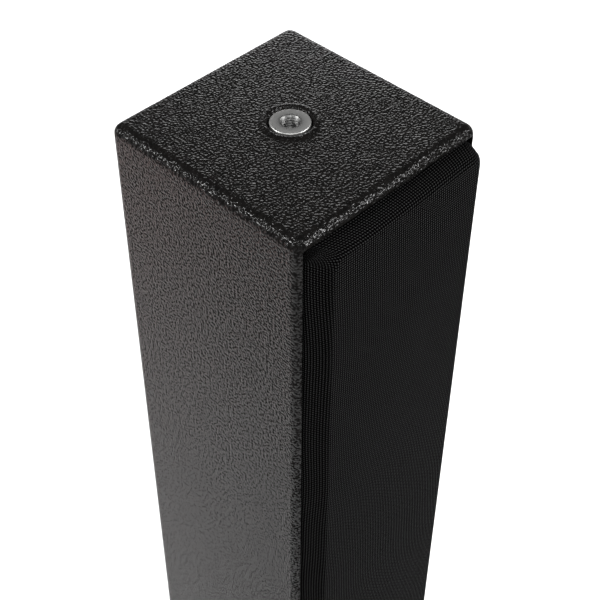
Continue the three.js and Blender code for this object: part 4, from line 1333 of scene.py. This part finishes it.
def make_toroid(spot):
    """A transformer wound with ridged copper, on its plastic hub."""
    turns, ridge = 90, 0.35

    def ridged(radius):
        return lambda angle: radius - ridge + ridge * math.cos(turns * angle)

    place = (spot, "sub_cabinet", "circuit_board")
    winding = [(ridged(radius), y) for radius, y in TOROID_WINDING]
    turned_piece("toroid_winding", winding, *place, WINDING, sides=360, angle=70)
    turned_piece("toroid_hub", TOROID_HUB, *place, PLASTIC, sides=36)


def make_smoothing_capacitor(name, spot):
    place = (spot, "sub_cabinet", "circuit_board")
    turned_piece(name, CAPACITOR_SLEEVE, *place, SLEEVE, sides=48, angle=30)
    lid = turned(name + "_lid", CAPACITOR_LID, spot, sides=48)
    for x, z in ((6, 0.35), (0.35, 6)):
        cut(lid, block_at("cut", spot, (-x, -30, -z), (x, -29.35, z)))
    finished(lid, "sub_cabinet", "circuit_board", ALUMINIUM)


def make_amplifier():
    low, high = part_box("amplifier_board")
    face = Vector((0, high.y - 46 * MM, low.z - 4 * MM))
    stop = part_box("amplifier_heatsink")[1].y - 6.3 * MM
    posts = [(low.x + 8 * MM, face.z + z * MM, 4.0, stop) for z in (20, 58)]
    posts += [(high.x - 8 * MM, z, 4.0, high.y) for z in (face.z + 14 * MM, high.z - 10 * MM)]
    pins = [(x, z) for x in range(-64, 0, 8) for z in (86, 104, 116)]
    pins += [(x, z) for x in range(-70, 70, 10) for z in (30, 46)]
    solder = [(x * MM, face.z + z * MM) for x, z in pins]
    circuit_board("amplifier_board", "sub_cabinet", face.y, posts, solder)
    make_toroid(face + mm(50, 0, 130))
    for i, x in enumerate((-60, -34, -8)):
        make_smoothing_capacitor(f"smoothing_capacitor_{i + 1}", face + mm(x, 0, 110))
    chips = []
    for x, z, half_x, half_z, tall in CHIPS:
        start, end = (x - half_x, -tall, z - half_z), (x + half_x, -0.2, z + half_z)
        chips.append(block_at("chip", face, start, end, 0.5, 2))
    finished(joined("amplifier_chips", chips), "sub_cabinet", "circuit_board", PLASTIC)


def make_heatsink():
    """An extruded heatsink, its fins grooved on both sides."""
    pitch, fin_thick, groove_depth = 14, 3, 0.4
    low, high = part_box("amplifier_heatsink")
    tall, deep = (high.z - low.z) / MM, (high.y - low.y) / MM
    sink = block("extruded_heatsink", (low.x, high.y - 6 * MM, low.z), high, 0.8 * MM, 2)
    for k in range(8):
        x = pitch * k
        add(sink, block_at("fin", low, (x, 0, 0), (x + fin_thick, deep - 5, tall), 1.0))
        for y in (3, 9, 15, 21):
            for side in (x, x + fin_thick):
                start, end = (side - groove_depth, y, -1), (side + groove_depth, y + 1, tall + 1)
                cut(sink, block_at("groove", low, start, end))
    finished(sink, "sub_cabinet", "heatsink_metal", ALUMINIUM, "amplifier_heatsink")


make_cabinets()
make_grille("column", "column_grille", (10, 80))
make_grille("sub", "sub_grille", (30, 40))
make_insert()
make_baffles()
make_drivers()
make_horn()
make_woofer()
make_panel()
make_handle_cups()
make_dock()
make_feet()
make_crossover()
make_amplifier()
make_heatsink()
